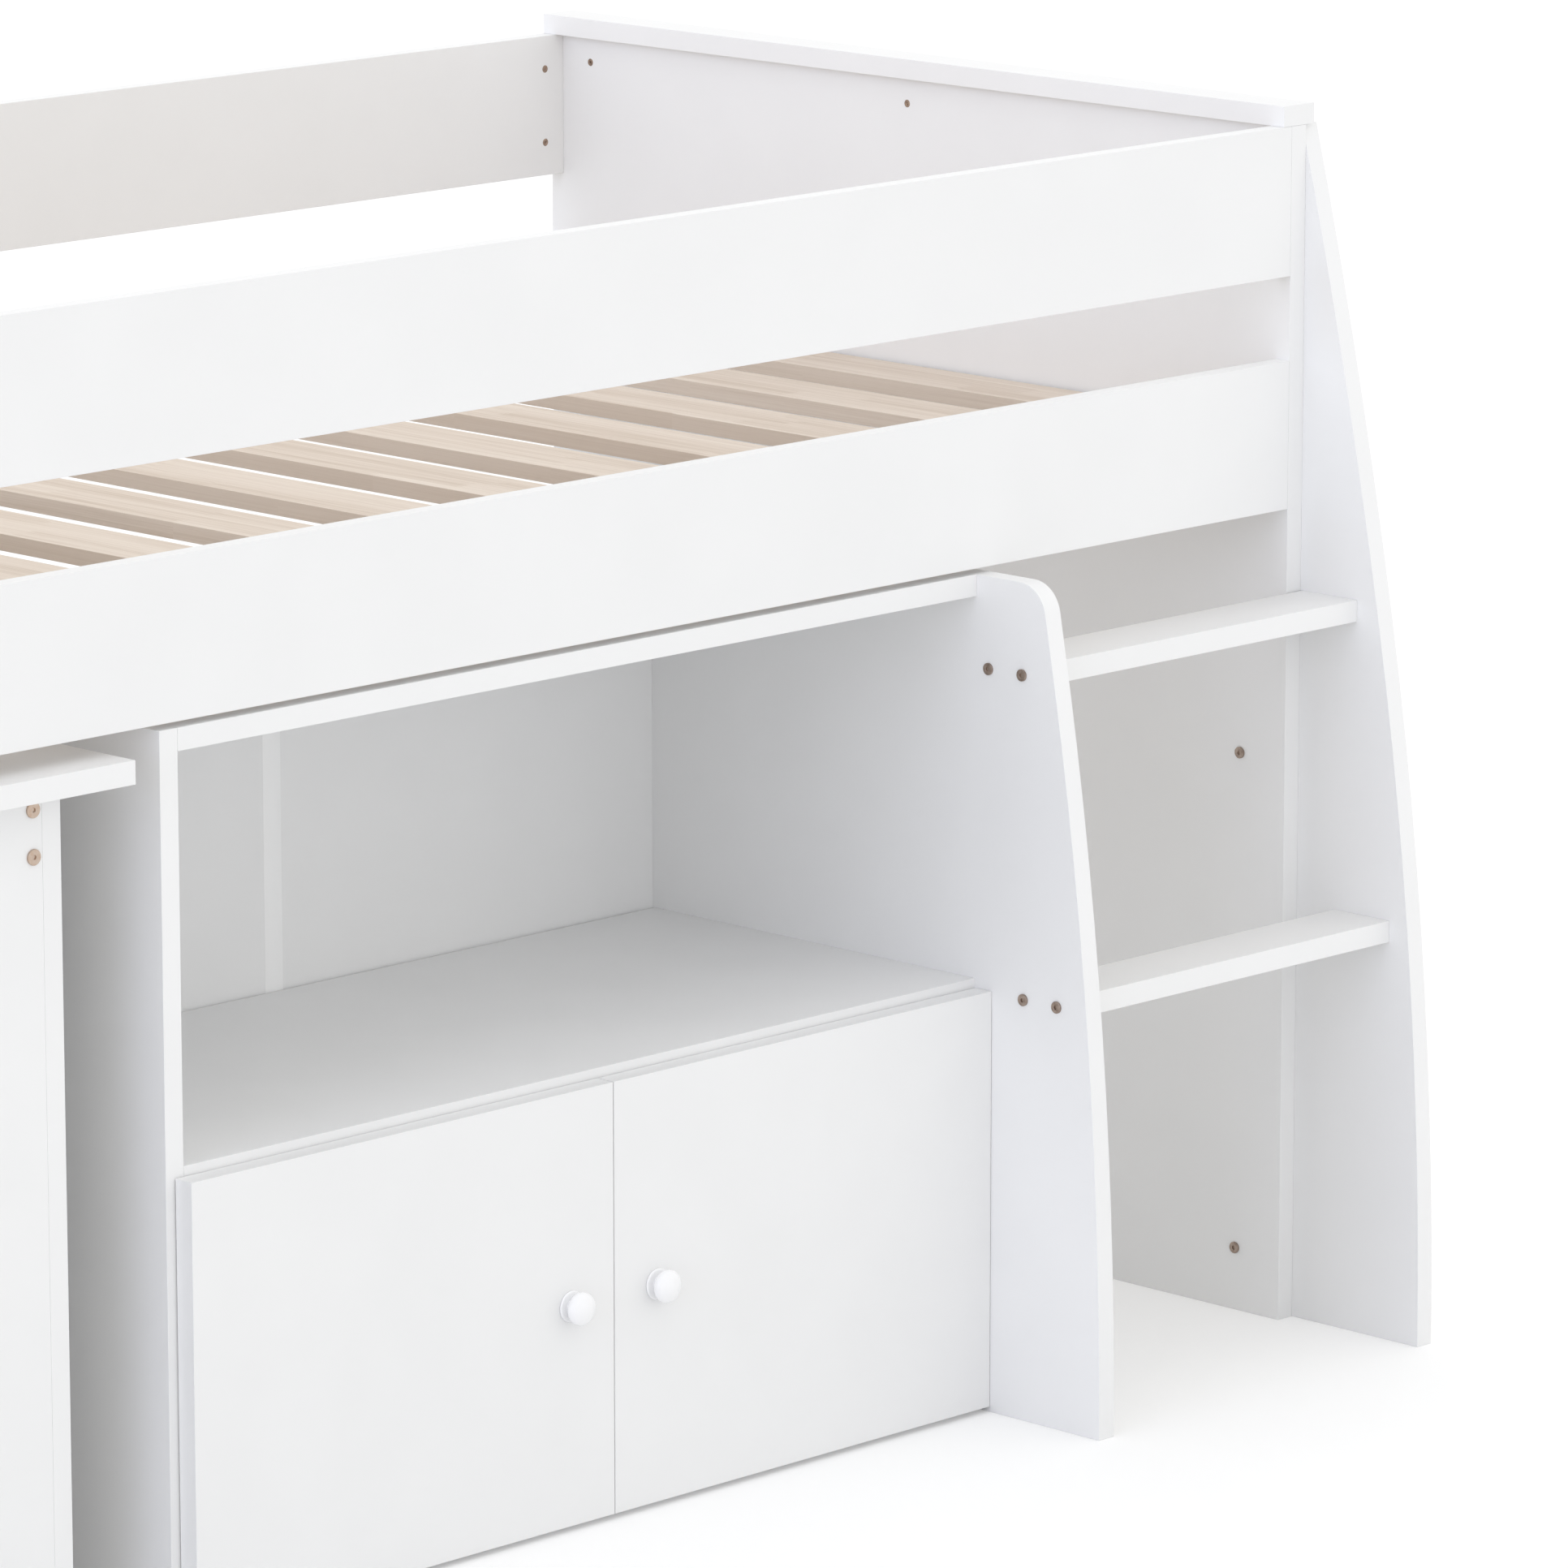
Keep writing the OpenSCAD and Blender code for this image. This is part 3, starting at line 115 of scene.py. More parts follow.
def melamine_foil(name, colour, roughness):
    """White melamine foil pressed on chipboard: satin, with the press plate's fine pearl grain."""
    made, tree, where = new_material(name)
    # The real pearl grain is 0.5 mm across; 2.2 mm is the finest that shows at this distance
    pearl = add(tree, "ShaderNodeTexNoise", Detail=3.0, Roughness=0.6, Vector=where,
                Scale=1 / (2.2 * MM))
    # The chip core telegraphs through the foil as a very low swell about 90 mm across
    swell = add(tree, "ShaderNodeTexNoise", Detail=1.0, Vector=where, Scale=1 / (90 * MM))
    hollow = [part * 0.985 for part in colour[:3]] + [1.0]
    shade = add(tree, "ShaderNodeValToRGB", stops=[(0.3, colour), (0.7, hollow)], Fac=swell)
    rough = add(tree, "ShaderNodeMapRange", To_Min=roughness - 0.05, To_Max=roughness + 0.06,
                Value=pearl)
    low = add(tree, "ShaderNodeBump", Strength=0.12, Distance=0.25 * MM, Height=swell)
    fine = add(tree, "ShaderNodeBump", Strength=0.1, Distance=0.03 * MM, Height=pearl, Normal=low)
    board = add(tree, "ShaderNodeBsdfPrincipled", IOR=1.5, Metallic=0.0, Base_Color=shade,
                Roughness=rough, Normal=fine)
    add(tree, "ShaderNodeOutputMaterial", Surface=board)
    return made


def beech(name, pale, mid, dark, along=1):
    """Bare, finger-jointed beech: lamellas side by side, joined end to end by small fingers, each
    of a slightly different tone, with fine straight grain and short ray flecks. The grain runs
    along the axis along. Upright faces have shade painted on them: they are mixed towards the
    dark tone."""
    lamella, piece_length, finger_width, finger_length = 24 * MM, 310 * MM, 4 * MM, 10 * MM
    made, tree, where = new_material(name)
    shift = add(tree, "ShaderNodeAttribute", attribute_name="slat_shift").outputs["Fac"]
    place = add(tree, "ShaderNodeSeparateXYZ", Vector=where)
    run, across = place.outputs["XYZ"[along]], place.outputs["XYZ"[1 - along]]
    # Each slat starts its lamellas at its own place
    moved = add(tree, "ShaderNodeMath", operation="MULTIPLY_ADD", Value_0=shift, Value_1=0.37,
                Value_2=across)
    lanes = add(tree, "ShaderNodeMath", operation="DIVIDE", Value_0=moved, Value_1=lamella)
    lane = add(tree, "ShaderNodeMath", operation="FLOOR", Value_0=lanes)
    lane_shift = add(tree, "ShaderNodeTexWhiteNoise", noise_dimensions="1D", W=lane)
    # The pieces of a lamella meet along a zigzag, which is the outline of the fingers
    zigzag = add(tree, "ShaderNodeMath", operation="PINGPONG", Value_0=across,
                 Value_1=finger_width / 2)
    jagged = add(tree, "ShaderNodeMath", operation="MULTIPLY_ADD", Value_0=zigzag,
                 Value_1=finger_length / (finger_width / 2), Value_2=run)
    pieces = add(tree, "ShaderNodeMath", operation="DIVIDE", Value_0=jagged, Value_1=piece_length)
    staggered = add(tree, "ShaderNodeMath", operation="ADD", Value_0=pieces, Value_1=lane_shift)
    piece = add(tree, "ShaderNodeMath", operation="FLOOR", Value_0=staggered)
    number = add(tree, "ShaderNodeMath", operation="MULTIPLY_ADD", Value_0=lane, Value_1=7.3,
                 Value_2=piece)
    shade = add(tree, "ShaderNodeTexWhiteNoise", noise_dimensions="1D", W=number)
    # Late wood shows as lines 1.6 mm apart that run 160 mm along the grain
    lines_per_metre = [1 / (1.6 * MM)] * 3
    lines_per_metre[along] = 1 / (160 * MM)
    scaled = add(tree, "ShaderNodeVectorMath", operation="MULTIPLY", Vector_0=where,
                 Vector_1=lines_per_metre)
    own = add(tree, "ShaderNodeCombineXYZ", X=number, Z=number)
    grain_at = add(tree, "ShaderNodeVectorMath", operation="ADD", Vector_0=scaled, Vector_1=own)
    grain = add(tree, "ShaderNodeTexNoise", Scale=1.0, Detail=3.0, Roughness=0.55, Distortion=0.15,
                Vector=grain_at)
    # Broad bands of the growth rings, 11 mm apart
    bands = add(tree, "ShaderNodeTexNoise", Scale=0.15, Detail=1.0, Vector=grain_at)
    faint = add(tree, "ShaderNodeMath", operation="MULTIPLY", Value_0=bands, Value_1=0.25)
    lines = add(tree, "ShaderNodeMath", operation="MULTIPLY_ADD", Value_0=grain, Value_1=0.6,
                Value_2=faint)
    mixed = add(tree, "ShaderNodeMath", operation="MULTIPLY_ADD", Value_0=shade, Value_1=0.15,
                Value_2=lines)
    colour = add(tree, "ShaderNodeValToRGB", stops=[(0.3, pale), (0.5, mid), (0.7, dark)],
                 Fac=mixed)
    # Ray flecks: 0.8 mm wide and 9 mm long
    flecks_per_metre = [1 / (0.8 * MM)] * 3
    flecks_per_metre[along] = 1 / (9 * MM)
    fleck_at = add(tree, "ShaderNodeVectorMath", operation="MULTIPLY", Vector_0=where,
                   Vector_1=flecks_per_metre)
    flecks = add(tree, "ShaderNodeTexNoise", Scale=1.0, Detail=1.0, Vector=fleck_at)
    fleck = add(tree, "ShaderNodeMapRange", From_Min=0.6, From_Max=0.8, To_Max=0.3, Value=flecks)
    flecked = add(tree, "ShaderNodeMix", data_type="RGBA", Factor=fleck, A=colour, B=dark)
    # The tops are planed. Painted shade: the upright faces, such as the slats' sides, are mixed
    # towards the dark tone, each slat's by its own seeded amount
    upward = add(tree, "ShaderNodeSeparateXYZ", Vector=where.node.outputs["Normal"]).outputs["Z"]
    level = add(tree, "ShaderNodeMath", operation="ABSOLUTE", Value_0=upward)
    side_shade_strength = add(tree, "ShaderNodeMath", operation="MULTIPLY_ADD", Value_0=shift, Value_1=0.5,
                  Value_2=0.25)
    shade_painted = add(tree, "ShaderNodeMapRange", From_Min=1.0, From_Max=0.0, Value=level,
               To_Max=side_shade_strength)
    faces = add(tree, "ShaderNodeMix", data_type="RGBA", Factor=shade_painted, A=flecked, B=dark)
    ridges = add(tree, "ShaderNodeBump", Strength=0.2, Distance=0.04 * MM, Height=grain)
    rough = add(tree, "ShaderNodeMapRange", To_Min=0.55, To_Max=0.7, Value=grain)
    wood = add(tree, "ShaderNodeBsdfPrincipled", IOR=1.5, Metallic=0.0, Base_Color=faces,
               Roughness=rough, Normal=ridges)
    add(tree, "ShaderNodeOutputMaterial", Surface=wood)
    return made


def plated_metal(name, colour, stain, roughness, grain_mm, stretch=(1, 1, 1), pit_mm=0.03):
    """A plated metal: the base tone with slightly darker patches where the bath left less metal."""
    made, tree, where = new_material(name)
    grain_at = add(tree, "ShaderNodeVectorMath", operation="MULTIPLY", Vector_0=where,
                   Vector_1=[part / (grain_mm * MM) for part in stretch])
    grain = add(tree, "ShaderNodeTexNoise", Scale=1.0, Detail=3.0, Vector=grain_at)
    # The patches are about 4 mm across
    patches = add(tree, "ShaderNodeTexNoise", Detail=2.0, Vector=where, Scale=1 / (4 * MM))
    tones = add(tree, "ShaderNodeValToRGB", stops=[(0.3, colour), (0.75, stain)], Fac=patches)
    rough = add(tree, "ShaderNodeMapRange", To_Min=roughness - 0.06, To_Max=roughness + 0.1,
                Value=grain)
    pits = add(tree, "ShaderNodeBump", Strength=0.3, Distance=pit_mm * MM, Height=grain)
    metal = add(tree, "ShaderNodeBsdfPrincipled", Metallic=1.0, Base_Color=tones, Roughness=rough,
                Normal=pits)
    add(tree, "ShaderNodeOutputMaterial", Surface=metal)
    return made


def moulded_plastic(name, colour, roughness, ior, coat=0.0, grain_mm=1.5, swell_mm=0.01):
    """Injection-moulded or extruded plastic with the mould's faint texture."""
    made, tree, where = new_material(name)
    skin = add(tree, "ShaderNodeTexNoise", Detail=2.0, Vector=where, Scale=1 / (grain_mm * MM))
    rough = add(tree, "ShaderNodeMapRange", To_Min=roughness * 0.85, To_Max=roughness * 1.15,
                Value=skin)
    swell = add(tree, "ShaderNodeBump", Strength=0.2, Distance=swell_mm * MM, Height=skin)
    plastic = add(tree, "ShaderNodeBsdfPrincipled", IOR=ior, Metallic=0.0, Coat_Weight=coat,
                  Coat_Roughness=0.06, Base_Color=colour, Roughness=rough, Normal=swell)
    add(tree, "ShaderNodeOutputMaterial", Surface=plastic)
    return made


def make_materials():
    """All materials of the bed by the record's slot names, plus those of small parts."""
    tones = bpy.context.scene.cabin_bed_tones
    satin = tones.board_roughness
    wood = tones.beech_pale[:], tones.beech_mid[:], tones.beech_dark[:]
    bronze, shaded = tones.bronze[:], tones.bronze_painted_shade[:]
    worn, dark = tones.bronze_worn[:], tones.bronze_dark[:]
    return {
        # Melamine foil, pressed on chipboard: satin white, quite even
        "white_board": melamine_foil("Melamine_foil_pressed", tones.board[:], satin),
        "door_board": melamine_foil("Melamine_foil_door", tones.door[:], satin),
        # White foil laid on 3 mm hardboard: duller than the boards
        "back_board": melamine_foil("Hardboard_foiled", tones.back_board[:], satin + 0.1),
        # Beech, planed and left bare: matt, pinkish straw, fine straight grain
        "beech": beech("Beech_planed", *wood),
        "beech_long": beech("Beech_planed_batten", *wood, along=0),
        # Steel, bronze plated and tumbled: warm light brown, satin
        "bronze_steel": plated_metal(
            "Steel_bronze_plated", bronze, worn, roughness=0.3, grain_mm=0.8),
        # The same plating with shade painted in, darker and browner: the ladder's bolts, which
        # stand in shade
        "bronze_painted_shade_steel": plated_metal(
            "Steel_bronze_plated_brown", shaded, dark, roughness=0.3, grain_mm=0.8),
        # Zinc alloy, die cast and bronzed: duller, blotchy
        "bronze_cast": plated_metal(
            "Zinc_cast_bronzed", worn, dark, roughness=0.42, grain_mm=0.5, pit_mm=0.05),
        # Steel wire, headed and zinc plated: light grey with faint bluish patches
        "zinc_steel": plated_metal(
            "Steel_zinc_plated", linear("#C9CBCE"), linear("#AEB1B6"), roughness=0.32,
            grain_mm=0.9),
        # Sheet steel, pressed and nickel plated: bright, with long press lines
        "nickel_steel": plated_metal(
            "Steel_nickel_pressed", linear("#D2CFC8"), linear("#BDB9B1"), roughness=0.2,
            grain_mm=0.5, stretch=(0.15, 0.15, 1)),
        # ABS, moulded and polished: hard gloss
        "white_plastic": moulded_plastic(
            "ABS_moulded_gloss", tones.knob[:], roughness=0.16, ior=1.54, coat=0.3),
        # PVC profile, extruded: satin
        "white_strip": moulded_plastic(
            "PVC_extruded", tones.strip[:], roughness=0.4, ior=1.54, grain_mm=2.5),
        # Thermoplastic rubber tyre, moulded: matt dark grey
        "grey_tread": moulded_plastic(
            "TPE_moulded_tyre", linear("#55565A"), roughness=0.62, ior=1.5, grain_mm=0.8,
            swell_mm=0.03),
        # Nylon wheel centre, moulded: pale grey, satin
        "grey_hub": moulded_plastic(
            "Nylon_moulded_hub", linear("#8E9094"), roughness=0.4, ior=1.53, grain_mm=1.0),
    }


MATERIALS = {}


# ---------- Pieces and meshes ----------

# Corners closer than this are one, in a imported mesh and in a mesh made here
WELD, TINY = 0.002 * MM, 0.001 * MM
# In a packed board, edges bent less than this lie in a flat face, and edges bent more than this and
# longer than a bore's facets are the board's own
FLAT, CORNER, FACET = math.radians(0.5), math.radians(40), 3 * MM
CUTTER_TURN = math.radians(2.2)

PLAINER = {"unit_back": "back_board", "unit_": "cupboard_", "ladder_stile": "ladder_stile_right"}


def piece_name(node):
    """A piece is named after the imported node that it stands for, in plainer words for some."""
    for word, plain in PLAINER.items():
        node = node.replace(word, plain)
    return node.capitalize()


def finish_piece(obj, node, body, material):
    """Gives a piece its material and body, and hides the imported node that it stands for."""
    obj.data.materials.clear()
    obj.data.materials.append(MATERIALS[material])
    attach(obj, body)
    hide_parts(node)


def in_scene(name, data):
    """A new object in the scene that shows a mesh, lamp or camera."""
    obj = bpy.data.objects.new(name, data)
    bpy.context.scene.collection.objects.link(obj)
    return obj


def discard(obj):
    """Removes a helper object and its mesh."""
    mesh = obj.data
    bpy.data.objects.remove(obj)
    bpy.data.meshes.remove(mesh)


def baked(obj):
    """The evaluated object as a plain mesh object of its name; obj and its modifiers go."""
    bpy.context.view_layer.update()
    graph = bpy.context.evaluated_depsgraph_get()
    mesh = bpy.data.meshes.new_from_object(obj.evaluated_get(graph), preserve_all_data_layers=True,
                                           depsgraph=graph)
    name = obj.name
    discard(obj)
    mesh.name = name
    return in_scene(name, mesh)


def from_bmesh(name, work):
    """A new object from a finished bmesh, with its faces pointing outwards."""
    bmesh.ops.recalc_face_normals(work, faces=work.faces)
    mesh = bpy.data.meshes.new(name)
    work.to_mesh(mesh)
    work.free()
    return in_scene(name, mesh)


def eased_copy(node, radius, segments=2):
    """A copy of a packed board with its outer edges eased. The rims of its bores stay sharp."""
    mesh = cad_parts[node].data.copy()
    work = bmesh.new()
    work.from_mesh(mesh)
    bmesh.ops.remove_doubles(work, verts=work.verts, dist=WELD)
    bmesh.ops.dissolve_limit(work, angle_limit=FLAT, verts=work.verts, edges=work.edges)
    chosen = [e for e in work.edges if len(e.link_faces) == 2 and e.calc_length() > FACET
              and e.calc_face_angle(0.0) > CORNER]
    bmesh.ops.bevel(work, geom=chosen, offset=radius, offset_type="OFFSET", segments=segments,
                    profile=0.5, affect="EDGES", clamp_overlap=True, miter_outer="SHARP")
    bmesh.ops.recalc_face_normals(work, faces=work.faces)
    work.to_mesh(mesh)
    work.free()
    mesh.materials.clear()
    for name in [a.name for a in mesh.attributes if a.name in ("custom_normal", "sharp_face")]:
        mesh.attributes.remove(mesh.attributes[name])
    obj = in_scene(piece_name(node), mesh)
    smooth_shaded(obj)
    return obj


def smooth_shaded(obj, angle=35, flat_faces=True):
    """Smooth shading with sharp edges above angle degrees; flat_faces keeps large faces flat."""
    for polygon in obj.data.polygons:
        polygon.use_smooth = True
    obj.data.set_sharp_from_angle(angle=math.radians(angle))
    if flat_faces:
        weighted = obj.modifiers.new("Weighted normals", "WEIGHTED_NORMAL")
        weighted.keep_sharp = True
        weighted.weight = 100


def lathe(name, profile, steps):
    """A solid turned about Z from (radius, height) points, closed where the radius is zero."""
    work = bmesh.new()
    points = [work.verts.new((r, 0, z)) for r, z in profile]
    for a, b in zip(points, points[1:]):
        work.edges.new((a, b))
    bmesh.ops.spin(work, geom=work.verts[:] + work.edges[:], cent=(0, 0, 0), axis=(0, 0, 1),
                   angle=math.tau, steps=steps, use_merge=True)
    bmesh.ops.remove_doubles(work, verts=work.verts, dist=TINY)
    return from_bmesh(name, work)


def arc(centre, radius, start, end, steps):
    """Points of an arc in the (radius, height) plane, angles in degrees from the radius axis."""
    angles = [math.radians(start + (end - start) * i / steps) for i in range(steps + 1)]
    return [(centre[0] + radius * math.cos(a), centre[1] + radius * math.sin(a)) for a in angles]


def prism(bottom, top):
    """A closed solid between two outlines of (x, y, z) points that run the same way round."""
    work = bmesh.new()
    rings = [[work.verts.new(point) for point in outline] for outline in (bottom, top)]
    for ring in rings:
        work.faces.new(ring)
    for i in range(len(bottom)):
        work.faces.new((rings[0][i - 1], rings[0][i], rings[1][i], rings[1][i - 1]))
    return from_bmesh("Cutter", work)


def hexagon_cutter(radius, low, high):
    """The cutter of a hexagon socket from the height low to high."""
    corners = [(radius * math.cos(math.tau * i / 6), radius * math.sin(math.tau * i / 6))
               for i in range(6)]
    return prism([(x, y, low) for x, y in corners], [(x, y, high) for x, y in corners])


def cross_cutter(reach, width, depth):
    """The cutter of a cross recess, whose arms narrow downwards from just above z = 0."""
    def outline(arm, h, z):
        return [(x, y, z) for x, y in (
            (arm, -h), (arm, h), (h, h), (h, arm), (-h, arm), (-h, h),
            (-arm, h), (-arm, -h), (-h, -h), (-h, -arm), (h, -arm), (h, -h))]
    return prism(outline(reach * 0.55, width * 0.4, -depth), outline(reach, width / 2, 0.5 * MM))


def cut_out(obj, cutter):
    """Takes the cutter out of obj and discards it. The cutter is turned a little first, so that
    none of its corners lies on an edge of obj."""
    cutter.data.transform(Matrix.Rotation(CUTTER_TURN, 4, "Z"))
    boolean = obj.modifiers.new("Recess", "BOOLEAN")
    boolean.operation = "DIFFERENCE"
    boolean.solver = "EXACT"
    boolean.object = cutter
    made = baked(obj)
    discard(cutter)
    work = bmesh.new()
    work.from_mesh(made.data)
    bmesh.ops.remove_doubles(work, verts=work.verts, dist=TINY)
    bmesh.ops.dissolve_degenerate(work, edges=work.edges, dist=TINY)
    work.to_mesh(made.data)
    work.free()
    return made


# ---------- Geometry Nodes ----------

def new_tree(name, inputs):
    """A modifier's node tree with the named inputs, and the sockets that bring them in."""
    tree = bpy.data.node_groups.new(name, "GeometryNodeTree")
    tree.is_modifier = True
    for title, kind in {"Geometry": "Geometry", **inputs}.items():
        tree.interface.new_socket(name=title, in_out="INPUT", socket_type=f"NodeSocket{kind}")
    tree.interface.new_socket(name="Geometry", in_out="OUTPUT", socket_type="NodeSocketGeometry")
    return tree, add(tree, "NodeGroupInput").outputs


def end_tree(tree, instances, finish):
    """Ends a tree: its instances become real geometry with the finish."""
    real = add(tree, "GeometryNodeRealizeInstances", Geometry=instances)
    coated = add(tree, "GeometryNodeSetMaterial", Geometry=real, Material=finish)
    add(tree, "NodeGroupOutput", Geometry=coated)
    return tree


def grown(node, mesh, tree, inputs):
    """What a tree makes of a mesh, as a plain mesh. Inputs are set by their identifiers."""
    holder = in_scene(piece_name(node), mesh)
    modifier = holder.modifiers.new(tree.name, "NODES")
    modifier.node_group = tree
    for socket in tree.interface.items_tree:
        if socket.name in inputs:
            modifier[socket.identifier] = inputs[socket.name]
    return baked(holder)


def fixings_tree():
    """One fixing on each point, its Z along the point's facing, turned by a seeded angle."""
    tree, given = new_tree("Fixings on points", {"Fixing": "Object", "Largest turn": "Float",
                                                 "Seed": "Int", "Finish": "Material"})
    facing = add(tree, "GeometryNodeInputNamedAttribute", data_type="FLOAT_VECTOR", Name="facing")
    aligned = add(tree, "FunctionNodeAlignRotationToVector", axis="Z", Vector=facing)
    turn = add(tree, "FunctionNodeRandomValue", data_type="FLOAT", Min=0.0,
               Max=given["Largest turn"], Seed=given["Seed"])
    spin = add(tree, "FunctionNodeAxisAngleToRotation", Axis=(0, 0, 1), Angle=turn)
    turned = add(tree, "FunctionNodeRotateRotation", rotation_space="LOCAL", Rotation=aligned,
                 Rotate_By=spin)
    fixing = add(tree, "GeometryNodeObjectInfo", Object=given["Fixing"]).outputs["Geometry"]
    placed = add(tree, "GeometryNodeInstanceOnPoints", Points=given["Geometry"], Instance=fixing,
                 Rotation=turned)
    return end_tree(tree, placed, given["Finish"])


def on_points(node, fixing, places, body, material, seed):
    """Copies of a fixing at each (place, facing), as one piece. The fixing is discarded."""
    mesh = bpy.data.meshes.new(node)
    mesh.from_pydata([tuple(place) for place, _ in places], [], [])
    facing = mesh.attributes.new("facing", "FLOAT_VECTOR", "POINT")
    for i, (_, towards) in enumerate(places):
        facing.data[i].vector = towards
    tree = bpy.data.node_groups.get("Fixings on points") or fixings_tree()
    made = grown(node, mesh, tree, {"Fixing": fixing, "Largest turn": math.tau, "Seed": seed,
                                    "Finish": MATERIALS[material]})
    discard(fixing)
    made.data.attributes.remove(made.data.attributes["facing"])
    finish_piece(made, node, body, material)


def slats_tree():
    """A row of slats: an eased section swept along the slat, its screws' seats cut, repeated
    along the bed."""
    sizes = ("Pitch", "Width", "Thickness", "Length", "Edge radius", "Screw inset", "Screw head",
             "Screw shank")
    tree, given = new_tree("Slat row", {"Count": "Int", **dict.fromkeys(sizes, "Float"),
                                        "First": "Vector", "Finish": "Material", "Seed": "Int"})
    half = add(tree, "ShaderNodeMath", operation="MULTIPLY", Value_0=given["Length"], Value_1=0.5)
    ends = []
    for sign in (-1.0, 1.0):
        y = add(tree, "ShaderNodeMath", operation="MULTIPLY", Value_0=half, Value_1=sign)
        ends.append(add(tree, "ShaderNodeCombineXYZ", Y=y))
    line = add(tree, "GeometryNodeCurvePrimitiveLine", Start=ends[0], End=ends[1])
    # The swept section's width lies along the slat's X once the line's frame is set to look up
    upright = add(tree, "GeometryNodeSetCurveNormal", mode="Z_UP", Curve=line)
    section = add(tree, "GeometryNodeCurvePrimitiveQuadrilateral", Width=given["Width"],
                  Height=given["Thickness"])
    eased = add(tree, "GeometryNodeFilletCurve", mode="POLY", Curve=section,
                Radius=given["Edge radius"], Count=3)
    swept = add(tree, "GeometryNodeCurveToMesh", Fill_Caps=True, Curve=upright,
                Profile_Curve=eased)
    # A countersunk seat is a cone at 45 degrees, flush with the slat's top
    inset = add(tree, "ShaderNodeMath", operation="SUBTRACT", Value_0=half,
                Value_1=given["Screw inset"])
    depth = add(tree, "ShaderNodeMath", operation="SUBTRACT", Value_0=given["Screw head"],
                Value_1=given["Screw shank"])
    down = add(tree, "ShaderNodeMath", operation="MULTIPLY", Value_0=depth, Value_1=-1.0)
    seat_z = add(tree, "ShaderNodeMath", operation="MULTIPLY_ADD", Value_0=given["Thickness"],
                 Value_1=0.5, Value_2=down)
    cone = add(tree, "GeometryNodeMeshCone", Vertices=32, Radius_Top=given["Screw head"],
               Radius_Bottom=given["Screw shank"], Depth=depth)
    both = add(tree, "GeometryNodeJoinGeometry")
    for sign in (-1.0, 1.0):
        y = add(tree, "ShaderNodeMath", operation="MULTIPLY", Value_0=inset, Value_1=sign)
        place = add(tree, "ShaderNodeCombineXYZ", Y=y, Z=seat_z)
        seat = add(tree, "GeometryNodeTransform", Geometry=cone, Translation=place)
        tree.links.new(seat.outputs["Geometry"], both.inputs["Geometry"])
    slat = add(tree, "GeometryNodeMeshBoolean", operation="DIFFERENCE", solver="EXACT",
               Mesh_1=swept, Mesh_2=both)
    back = add(tree, "ShaderNodeMath", operation="MULTIPLY", Value_0=given["Pitch"], Value_1=-1.0)
    step = add(tree, "ShaderNodeCombineXYZ", X=back)
    row = add(tree, "GeometryNodeMeshLine", Count=given["Count"], Start_Location=given["First"],
              Offset=step)
    # A seeded number for each slat, which shifts its lamellas
    shift = add(tree, "FunctionNodeRandomValue", data_type="FLOAT", Seed=given["Seed"])
    stored = add(tree, "GeometryNodeStoreNamedAttribute", data_type="FLOAT", domain="POINT",
                 Geometry=row, Name="slat_shift", Value=shift)
    placed = add(tree, "GeometryNodeInstanceOnPoints", Points=stored, Instance=slat)
    return end_tree(tree, placed, given["Finish"])


# ---------- Sizes and colours ----------

def tone(name, description, colour):
    """A colour that a user can change."""
    return FloatVectorProperty(name=name, description=description, subtype="COLOR", size=4, min=0,
                               max=1, default=linear(colour))


def length(name, description, size, least, most):
    """A length that a user can change, given in millimetres."""
    return FloatProperty(name=name, description=description, unit="LENGTH", precision=5,
                         default=size * MM, min=least * MM, max=most * MM)


class CabinBedTones(bpy.types.PropertyGroup):
    """Colours of the finishes, and the boards' roughness."""
    board: tone("Board", "Colour of the boards' foil", "#F0F0F0")
    door: tone("Doors", "Colour of the doors' foil", "#EFEFEF")
    back_board: tone("Back boards", "Colour of the cupboard's back", "#F5F5F5")
    strip: tone("Joining strip", "Colour of the strip between the back boards", "#FFFFFF")
    board_roughness: FloatProperty(name="Board roughness", description="Roughness of the foil",
                                   default=0.48, min=0.2, max=0.8)
    beech_pale: tone("Beech, pale", "Early wood of the slats", "#E6DACD")
    beech_mid: tone("Beech", "Most of the slats", "#DCCEC0")
    # The dark tone is also the shade painted on the beech's upright faces
    beech_dark: tone("Beech, dark", "Late wood, flecks and sawn sides", "#C9B8A7")
    bronze: tone("Bronze plating", "Bolt heads of the desk", "#C6B6A8")
    # Painted shade: the ladder's bolts stand in shade, so their plating is a darker, browner copy
    # of the desk bolts'
    bronze_painted_shade: tone("Brown bronze", "Bolt heads of the ladder", "#B0A094")
    bronze_worn: tone("Worn bronze", "Thin plating, and the cam locks", "#BFA794")
    bronze_dark: tone("Dark bronze", "Dark patches of the brown bronze and the cam locks",
                      "#8D7C71")
    knob: tone("Knob", "Colour of the knobs", "#F6F6F7")


